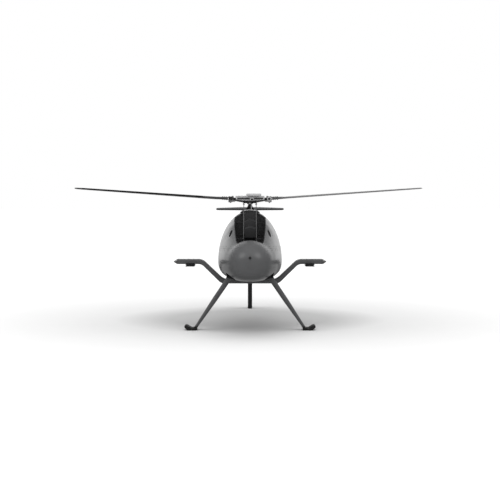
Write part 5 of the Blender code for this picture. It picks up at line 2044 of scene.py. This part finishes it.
@dataclass
class SideArms:
    """The cross-beam under the belly with its bent arms, end caps, and the rails under the arms."""

    mast_y: float = -0.48
    half_chord: float = 0.055
    beam_bottom: float = 0.4259
    arm_bottom: float = 0.616
    arm_top: float = 0.6635
    tip_x: float = 0.745
    tip_z: float = 0.64
    cap_x: float = 0.706
    corner: float = 0.014
    stop_screws: tuple[float, ...] = (-0.085, -0.04, 0.04, 0.085)
    stop_row: float = 0.02
    top_screws: Pair = (0.026, 0.03)

    def lower_line(self) -> list[Pair]:
        """Return the underside of the port half, from the middle out to the cap."""
        return filleted([(0.0, self.beam_bottom), (0.2805, self.beam_bottom), (0.4735, self.arm_bottom),
            (self.cap_x, self.arm_bottom)], (0.0, 0.08, 0.08, 0.0), 11)

    def upper_line(self) -> list[Pair]:
        """Return the top of the port half, from the middle out to the cap."""
        return filleted([(0.0, 0.4585), (0.2575, 0.467), (0.4636, self.arm_top),
            (self.cap_x, self.arm_top)], (0.0, 0.12, 0.11, 0.0), 11)

    def section(self, low: Vector, high: Vector, share: float = 1.0) -> Ring:
        """Return the arm's rounded section between a point of its underside and one of its top.

        Args:
            low: The point on the underside, over the middle of the chord.
            high: The point on the top.
            share: How much of the full chord the section has.

        Returns:
            The ring of points.
        """
        middle, half = (low + high) / 2, (high - low).length / 2
        up = (high - low).normalized()
        reach = self.half_chord * share
        corner = min(self.corner, half * 0.9)
        ring = []
        for quarter, (y, z) in enumerate(((1, 1), (-1, 1), (-1, -1), (1, -1))):
            for step in range(7):
                angle = math.pi / 2 * (quarter + step / 6)
                across = y * (reach - corner) + corner * math.cos(angle)
                ring.append(middle + up * (z * (half - corner) + corner * math.sin(angle))
                    + Vector((0.0, across, 0.0)))
        return ring

    def build(self) -> None:
        """Build the beam, the caps, the rails and their screws."""
        rings = [self.section(Vector((low[0], self.mast_y, low[1])), Vector((high[0], self.mast_y,
            high[1]))) for low, high in zip(self.lower_line(), self.upper_line())]
        mirrored = [[Vector((-point.x, point.y, point.z)) for point in ring] for ring in reversed(rings[1:])]
        beam = Draft()
        beam.loft(mirrored + rings)
        beam.build("belly_beam", STRUT_PAINT, "hardpoint_beam", smooth=50.0)
        for side in Side:
            self.end_cap(side)
            self.rail(side)

    def end_cap(self, side: Side) -> None:
        """Build the pale pointed cap of one arm.

        Args:
            side: Which side it is on.
        """
        draft = Draft()
        rings = []
        start = self.cap_x + 0.0006
        for share, depth in ((0.0, 1.0), (0.12, 1.0), (0.35, 0.97), (0.6, 0.9), (0.85, 0.78), (1.0, 0.7)):
            x = side.value * (start + (self.tip_x - start) * share)
            taper = 1.0 if share <= 0.12 else 1.0 - 0.9 * (share - 0.12) / 0.88
            low, high = (self.tip_z + (edge - self.tip_z) * taper for edge in (self.arm_bottom, self.arm_top))
            rings.append(self.section(Vector((x, self.mast_y, low)), Vector((x, self.mast_y, high)), depth))
        draft.loft(rings)
        draft.build("arm_cap", PALE_METAL, side=side, smooth=50.0)

    def rail(self, side: Side) -> None:
        """Build one rail: a slotted block with stop screws, hung under its arm.

        Args:
            side: Which side it is on.
        """
        low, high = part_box(f"hardpoint_rail_{side.word}")
        draft = Draft()
        notch, lip = 0.012, 0.006
        outline = [(low.x, low.z), (high.x, low.z), (high.x, low.z + lip),
            (high.x - notch, low.z + lip + 0.002), (high.x - notch, high.z - 0.006),
            (high.x, high.z - 0.004), (high.x, high.z), (low.x, high.z), (low.x, high.z - 0.004),
            (low.x + notch, high.z - 0.006), (low.x + notch, low.z + lip + 0.002), (low.x, low.z + lip)]
        draft.prism(outline, low.y, high.y)
        draft.build("payload_rail", FITTING_PLASTIC, "hardpoint_rail", side, bevel=0.001)
        screws = Draft()
        middle = (low.x + high.x) / 2
        for y in self.stop_screws:
            for x in (-self.stop_row, self.stop_row):
                screw_head(screws, facing((middle + x, self.mast_y + y, low.z), (0.0, 0.0, -1.0)), 0.0038,
                    sunk=0.0012)
        for y in (-self.top_screws[1], self.top_screws[1]):
            for x in (-self.top_screws[0], self.top_screws[0]):
                screw_head(screws, shift(middle + x, self.mast_y + y, self.arm_top), 0.006)
        screws.build("rail_screws", STEEL, side=side)


@dataclass
class LandingGear:
    """Two splayed tapered legs, the brackets that hold them to the hull, and their upturned feet."""

    notch: LegNotch
    top: Triple = (0.19, -0.762, 0.511)
    foot: Triple = (0.52, -0.742, 0.023)
    overrun: float = 0.1
    widths: tuple[Triple, ...] = ((0.0, 0.055, 0.084), (0.15, 0.0535, 0.08), (0.54, 0.047, 0.068),
        (0.88, 0.0325, 0.055), (1.0, 0.0265, 0.05))
    flange_x: Pair = (0.1385, 0.2265)
    flange_y: Pair = (-0.83, -0.692)
    flange_thickness: float = 0.0096
    gap: float = 0.0003
    half_foot: float = 0.062
    bolt_x: Pair = (0.15, 0.215)
    bolt_y: Pair = (-0.816, -0.706)
    cuff_height: float = 0.01
    cuff_wall: float = 0.0016
    foot_screws: Pair = (0.533, 0.046)
    foot_top: float = 0.0228
    hook: tuple[Pair, ...] = ((0.506, 0.004), (0.511, 0.0), (0.59, 0.0), (0.6, 0.003), (0.624, 0.024),
        (0.628, 0.036), (0.622, 0.046), (0.611, 0.049), (0.598, 0.0445), (0.56, 0.0228), (0.506, 0.0228))

    def build(self) -> None:
        """Build both sides."""
        for side in Side:
            self.leg(side)
            self.flange(side)
            # The bracket's black is painted shade for the recess where the leg enters the hull.
            dress(f"leg_bracket_{side.word}", FITTING_PLASTIC)
            self.shoe(side)

    def leg_point(self, side: Side, share: float, angle: float, proud: float = 0.0) -> Vector:
        """Return a point on one leg.

        Args:
            side: Which leg it is.
            share: Share of the length, from the start of the overrun to the foot.
            angle: Turn about the leg.
            proud: How far it stands off the surface.

        Returns:
            The point.
        """
        top, foot = (side.point(place) for place in (self.top, self.foot))
        along = (foot - top).normalized()
        start = top - along * self.overrun
        chordwise = (Vector((0.0, 1.0, 0.0)) - along * along.y).normalized()
        across = along.cross(chordwise).normalized()
        width, chord = read_rows(self.widths, share)
        x, y = math.cos(angle), math.sin(angle)
        return (start + (foot - start) * share + across * ((0.5 * width
            + proud) * math.copysign(abs(x) ** 0.8, x)) + chordwise * ((0.5 * chord
            + proud) * math.copysign(abs(y) ** 0.92, y)))

    def share_where(self, side: Side, angle: float, level: Callable[[Vector], float],
            proud: float = 0.0) -> float:
        """Return the share of a leg's length at which its surface passes a level.

        Args:
            side: Which leg it is.
            angle: Turn about the leg.
            level: Gives how far a point is above the level.
            proud: How far the point stands off the surface.

        Returns:
            The share.
        """
        low, high = 0.0, 1.08
        for _ in range(30):
            middle = (low + high) / 2
            above = level(self.leg_point(side, middle, angle, proud)) > 0.0
            low, high = (middle, high) if above else (low, middle)
        return low

    def band(self, side: Side, start: Callable[[Vector], float], end: Callable[[Vector], float], steps: int,
            proud: float = 0.0) -> list[Ring]:
        """Return rings round a leg between two levels, each ring an even share of the way down.

        Args:
            side: Which leg it is.
            start: Gives how far a point is above the upper level.
            end: Gives how far a point is above the lower level.
            steps: How many steps there are.
            proud: How far the rings stand off the surface.

        Returns:
            The rings from top to bottom.
        """
        spans = [(angle, self.share_where(side, angle, start, proud), self.share_where(side, angle, end,
            proud)) for angle in turns(40)]
        return [[self.leg_point(side, first + (last - first) * step / steps, angle, proud)
            for angle, first, last in spans] for step in range(steps + 1)]

    def over_seat(self, point: Vector) -> float:
        """Return how far a point is above the underside of the bracket's seat."""
        return point.z - self.notch.seat_z(point.x) + self.gap

    def leg(self, side: Side) -> None:
        """Build one leg, an oval tube that thins towards the floor, and the rubber cuff at its foot.

        Args:
            side: Which side it is on.
        """
        sole = self.foot_top + self.gap
        tube = Draft()
        tube.loft(self.band(side, self.over_seat, lambda point: point.z - sole, 36))
        tube.build("leg_tube", STRUT_PAINT, "landing_leg", side, bevel=0.0006)
        cuff = Draft()
        height, wall = self.cuff_height, self.cuff_wall
        outer = self.band(side, lambda point: point.z - sole - height, lambda point: point.z - sole, 3, wall)
        edge = self.band(side, lambda point: point.z - sole - height - 0.0012, lambda point: point.z - sole,
            1, 0.0)
        cuff.loft([edge[0], *outer])
        cuff.build("leg_cuff", BOOT_RUBBER, side=side, bevel=0.0004, smooth=60.0)

    def flange(self, side: Side) -> None:
        """Build the plate at one leg's top, bolted up against the seat.

        Args:
            side: Which side it is on.
        """
        (inner, outer), (front, rear) = self.flange_x, self.flange_y
        outline = filleted([(inner, (front + rear) / 2), (inner, front), (outer, front), (outer, rear),
            (inner, rear), (inner, (front + rear) / 2)], (0.0, 0.016, 0.016, 0.016, 0.016, 0.0))[:-1]
        plate = Draft()
        plate.loft([[Vector((side.value * x, y, self.notch.seat_z(x) - self.gap - drop))
            for x, y in outline] for drop in (0.0, self.flange_thickness)])
        plate.build("leg_flange", STRUT_PAINT, side=side, bevel=0.0022, segments=3)
        bolts = Draft()
        down = Vector((side.value * self.notch.seat_slope, 0.0, -1.0)).normalized()
        for x in self.bolt_x:
            for y in self.bolt_y:
                foot = Vector((side.value * x, y, self.notch.seat_z(x) - self.gap - self.flange_thickness))
                bolts.turned([(0.0072, -0.001), (0.0072, 0.0014), (0.0056, 0.0016), (0.0056, 0.0052),
                    (0.0046, 0.006)], 6, facing(foot, down))
        bolts.build("leg_bolts", STEEL, side=side, bevel=0.0004)

    def shoe(self, side: Side) -> None:
        """Build one foot: a rubber hook with an upturned toe.

        Args:
            side: Which side it is on.
        """
        corners = self.hook
        middle = Vector((0.566, 0.018))
        line = filleted([*corners, corners[0]], (0.0, 0.004, 0.01, 0.02, 0.012, 0.008, 0.008, 0.01, 0.01,
            0.01, 0.0015, 0.0), 5)[:-1]
        draft = Draft()
        rings = []
        for share, inset in ((-1.0, 0.006), (-0.975, 0.0028), (-0.93, 0.0008), (-0.86, 0.0), (0.86, 0.0),
                (0.93, 0.0008), (0.975, 0.0028), (1.0, 0.006)):
            ring = []
            for x, z in line:
                pull = (middle - Vector((x, z))).normalized() * inset
                height = max(0.0, z + (pull.y if z > 0.0 else 0.0))
                ring.append(Vector((side.value * (x + pull.x), self.foot[1] + self.half_foot * share,
                    height)))
            rings.append(ring)
        draft.loft(rings)
        draft.build("foot_rubber", BOOT_RUBBER, "foot", side, smooth=50.0)
        screws = Draft()
        x, half = self.foot_screws
        for y in (-half, half):
            screw_head(screws, shift(side.value * x, self.foot[1] + y, self.foot_top), 0.0048)
        screws.build("foot_screws", STEEL, side=side)


@dataclass
class SmallFittings:
    """The pitot probe at the nose and the exhaust stub under the hull."""

    body: BodyShape
    probe_z: float = 0.7387
    pipe_start: Triple = (-0.07, 0.02, 0.56)
    pipe_end: Triple = (-0.07, 0.215, 0.455)

    def build(self) -> None:
        """Build the probe and the exhaust."""
        draft = Draft()
        place = shift(0.0, 0.0, self.probe_z) @ Matrix.Rotation(math.pi / 2, 4, "X")
        draft.turned([(0.012, 1.512), (0.012, 1.529), (0.0108, 1.531), (0.0084, 1.532), (0.0078, 1.54),
            (0.0074, 1.5545), (0.0068, 1.555), (0.004, 1.555), (0.0036, 1.55)], 32, place)
        draft.build("pitot_tube", THROAT_PLASTIC, "pitot_probe", smooth=40.0)
        pipe = Draft()
        start, end = Vector(self.pipe_start), Vector(self.pipe_end)
        ahead = (end - start).normalized()
        length = (end - start).length
        along = facing(start, ahead)
        pipe.turned([(0.0225, 0.055), (0.024, 0.06), (0.024, length - 0.006), (0.0246, length - 0.003),
            (0.024, length), (0.0212, length), (0.0205, length - 0.003), (0.0205, 0.058)], 48, along,
            open_ends=True)
        ring = [along @ Vector((0.0248 * math.cos(angle), 0.0248 * math.sin(angle), length - 0.03))
            for angle in turns(48)]
        pipe.tube(ring, 0.0016, 8, closed=True)
        pipe.build("exhaust_stub", EXHAUST_METAL, "exhaust_pipe", smooth=40.0)


def shift(x: float, y: float, z: float) -> Matrix:
    """Return the matrix that moves a thing by a distance along each axis."""
    return Matrix.Translation(Vector((x, y, z)))


def facing(place: Sequence[float], way: Sequence[float]) -> Matrix:
    """Return the matrix that stands a Z axis on a place and points it a way."""
    return Matrix.Translation(place) @ Vector(way).to_track_quat("Z", "Y").to_matrix().to_4x4()


def read_rows(rows: Sequence[Sequence[float]], place: float) -> tuple[float, ...]:
    """Read a table between its rows, held at its ends.

    Args:
        rows: The rows, each a place and the values there.
        place: The place to read.

    Returns:
        The values at the place.
    """
    for low, high in zip(rows, rows[1:]):
        if place <= high[0]:
            share = max(0.0, (place - low[0]) / (high[0] - low[0]))
            return tuple(first + (second - first) * share for first, second in zip(low[1:], high[1:]))
    return tuple(rows[-1][1:])


def screw_head(draft: Draft, place: Matrix, radius: float, sunk: float = 0.0006) -> None:
    """Add a shallow screw head with a hexagonal socket.

    Args:
        draft: The draft that it is added to.
        place: Where it stands, with Z pointing out of the surface.
        radius: Its radius.
        sunk: How far its foot lies under the surface.
    """
    draft.turned([(radius, -sunk), (radius, 0.0003), (radius * 0.86, 0.0007), (radius * 0.52, 0.0008),
        (radius * 0.48, -sunk * 0.5)], 18, place)


def filleted(points: Sequence[Pair], radii: Sequence[float], steps: int = 7) -> list[Pair]:
    """Round the corners of a line of points.

    Args:
        points: The corners, in order. The first and the last stay where they are.
        radii: The radius at each corner.
        steps: How many points each arc has.

    Returns:
        The rounded line.
    """
    line = [points[0]]
    for index in range(1, len(points) - 1):
        corner = Vector(points[index])
        before, after = Vector(points[index - 1]) - corner, Vector(points[index + 1]) - corner
        turn = before.angle(after)
        reach = min(radii[index] / math.tan(turn / 2), before.length * 0.48, after.length * 0.48)
        start, end = corner + before.normalized() * reach, corner + after.normalized() * reach
        for step in range(steps):
            share = step / (steps - 1)
            place = start * (1 - share) ** 2 + corner * 2 * share * (1 - share) + end * share ** 2
            line.append((place.x, place.y))
    return line + [points[-1]]


@dataclass
class Studio:
    """Pale floor, soft light, bright surroundings and the camera at the photograph's angle."""

    camera_place: Triple = (0.0, -11.48, 1.354)
    camera_pitch: float = math.radians(3.136)
    lens: float = 81.07
    sensor: float = 36.0
    floor_half: float = 60.0
    key_power: float = 1.25
    key_spread: float = math.radians(64.0)
    key_tilt: float = math.radians(4.0)
    fill_level: float = 1.14
    front_levels: tuple[Pair, ...] = ((-1.0, 0.06), (0.0, 0.06), (0.5, 0.08), (1.0, 0.18))
    back_levels: tuple[Pair, ...] = ((-1.0, 0.1), (-0.5, 0.16), (-0.16, 0.44), (0.03, 1.16), (0.3, 1.58),
        (0.5, 0.2), (1.0, 0.18))
    back_edge: Pair = (0.79, 0.94)
    side_box: Triple = (0.68, -0.15, 0.71)
    side_box_edge: Pair = (0.9, 0.985)
    side_box_level: float = 1.1

    def build(self) -> None:
        """Build everything around the machine."""
        self.camera()
        self.floor()
        self.key_light()
        self.surroundings()
        view = bpy.context.scene.view_settings
        view.view_transform = "Standard"
        view.look = "None"
        view.exposure = 0.0
        view.gamma = 1.0

    def camera(self) -> None:
        """Set the camera where the photograph was seen from."""
        data = bpy.data.cameras.new("camera")
        data.lens = self.lens
        data.sensor_width = self.sensor
        data.clip_end = 300.0
        camera = bpy.data.objects.new("camera", data)
        camera.location = self.camera_place
        camera.rotation_euler = (math.pi / 2 - self.camera_pitch, 0.0, 0.0)
        bpy.context.collection.objects.link(camera)
        bpy.context.scene.camera = camera

    def floor(self) -> None:
        """Lay the floor, which the gloss of the paint doesn't mirror."""
        half = self.floor_half
        mesh = bpy.data.meshes.new("studio_floor")
        mesh.from_pydata([(-half, -half, 0.0), (half, -half, 0.0), (half, half, 0.0), (-half, half, 0.0)],
            [], [(0, 1, 2, 3)])
        mesh.materials.append(FLOOR.material())
        floor = bpy.data.objects.new("studio_floor", mesh)
        bpy.context.collection.objects.link(floor)
        floor.visible_glossy = False

    def key_light(self) -> None:
        """Hang a very soft light over the machine, which its gloss doesn't mirror."""
        data = bpy.data.lights.new("overhead_light", "SUN")
        data.energy = self.key_power
        data.angle = self.key_spread
        light = bpy.data.objects.new("overhead_light", data)
        light.location = (0.0, -0.3, 6.0)
        light.rotation_euler = (self.key_tilt, 0.0, 0.0)
        bpy.context.collection.objects.link(light)
        light.visible_glossy = False

    def surroundings(self) -> None:
        """Surround the machine with a studio: a bright wall low behind it, a dim ceiling, an even front."""
        world = bpy.data.worlds.new("studio")
        bpy.context.scene.world = world
        world.use_nodes = True
        bench = NodeBench(world.node_tree, "Background", "Generated")
        axes = bench.node("SeparateXYZ", {"Vector": bench.place}).outputs
        edge = ((-1.0, 0.0), (self.back_edge[0], 0.0), (self.back_edge[1], 1.0), (1.0, 1.0))
        seen = bench.mixed(self.levels(bench, axes["Y"], edge), self.levels(bench, axes["Z"],
            self.front_levels), self.levels(bench, axes["Z"], self.back_levels))
        for side in Side:
            aim = bench.node("VectorMath", {0: bench.place, 1: side.point(self.side_box)},
                operation="DOT_PRODUCT")
            box = bench.ranged(aim.outputs["Value"], *self.side_box_edge, 0.0, self.side_box_level,
                "SMOOTHSTEP")
            seen = bench.node("VectorMath", {0: seen, 1: box}, operation="ADD").outputs["Vector"]
        ray = bench.node("LightPath", {}).outputs
        mirrored = bench.mixed(ray["Is Glossy Ray"], (self.fill_level,) * 3, seen)
        bench.shade(Color=bench.mixed(ray["Is Camera Ray"], mirrored, (1.0, 1.0, 1.0)))

    def levels(self, bench: NodeBench, axis: Socket, stops: Sequence[Pair]) -> Socket:
        """Return a brightness that follows one axis of the direction.

        Args:
            bench: The world's nodes.
            axis: The axis, from -1 to 1.
            stops: Pairs of a place on the axis and the brightness there.

        Returns:
            The socket that carries the brightness.
        """
        made = bench.node("ValToRGB", {"Fac": bench.ranged(axis, -1.0, 1.0, 0.0, 1.0)})
        made.color_ramp.interpolation = "EASE"
        points = made.color_ramp.elements
        points.remove(points[-1])
        points[0].position = 0.0
        for number, (where, value) in enumerate(stops):
            point = points.new((where + 1.0) / 2.0) if number else points[0]
            point.color = (value, value, value, 1.0)
        return made.outputs["Color"]


CORE_NODES = ("bulkhead_front", "bulkhead_rear", "engine_block", "main_gearbox")


def main() -> None:
    """Build the studio and the machine, piece by piece."""
    logging.basicConfig(level=logging.INFO, format="%(message)s")
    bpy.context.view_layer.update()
    body, throat, head = BodyShape(), Throat(), RotorHead()
    slots, notch = CowlSlots(body), LegNotch()
    Studio().build()
    SkinPanels(body, throat, slots, notch).build()
    slots.build()
    SkinFittings(body, throat).build()
    ThroatFittings(body, throat).build()
    MastBase().build()
    head.build()
    MainBlades(head).build()
    TailSurfaces().build()
    TailRotor().build()
    SideArms().build()
    LandingGear(notch).build()
    SmallFittings(body).build()
    for node in CORE_NODES:
        dress(node, DARK_METAL)
    bpy.context.view_layer.update()


if __name__ == "__main__":
    main()
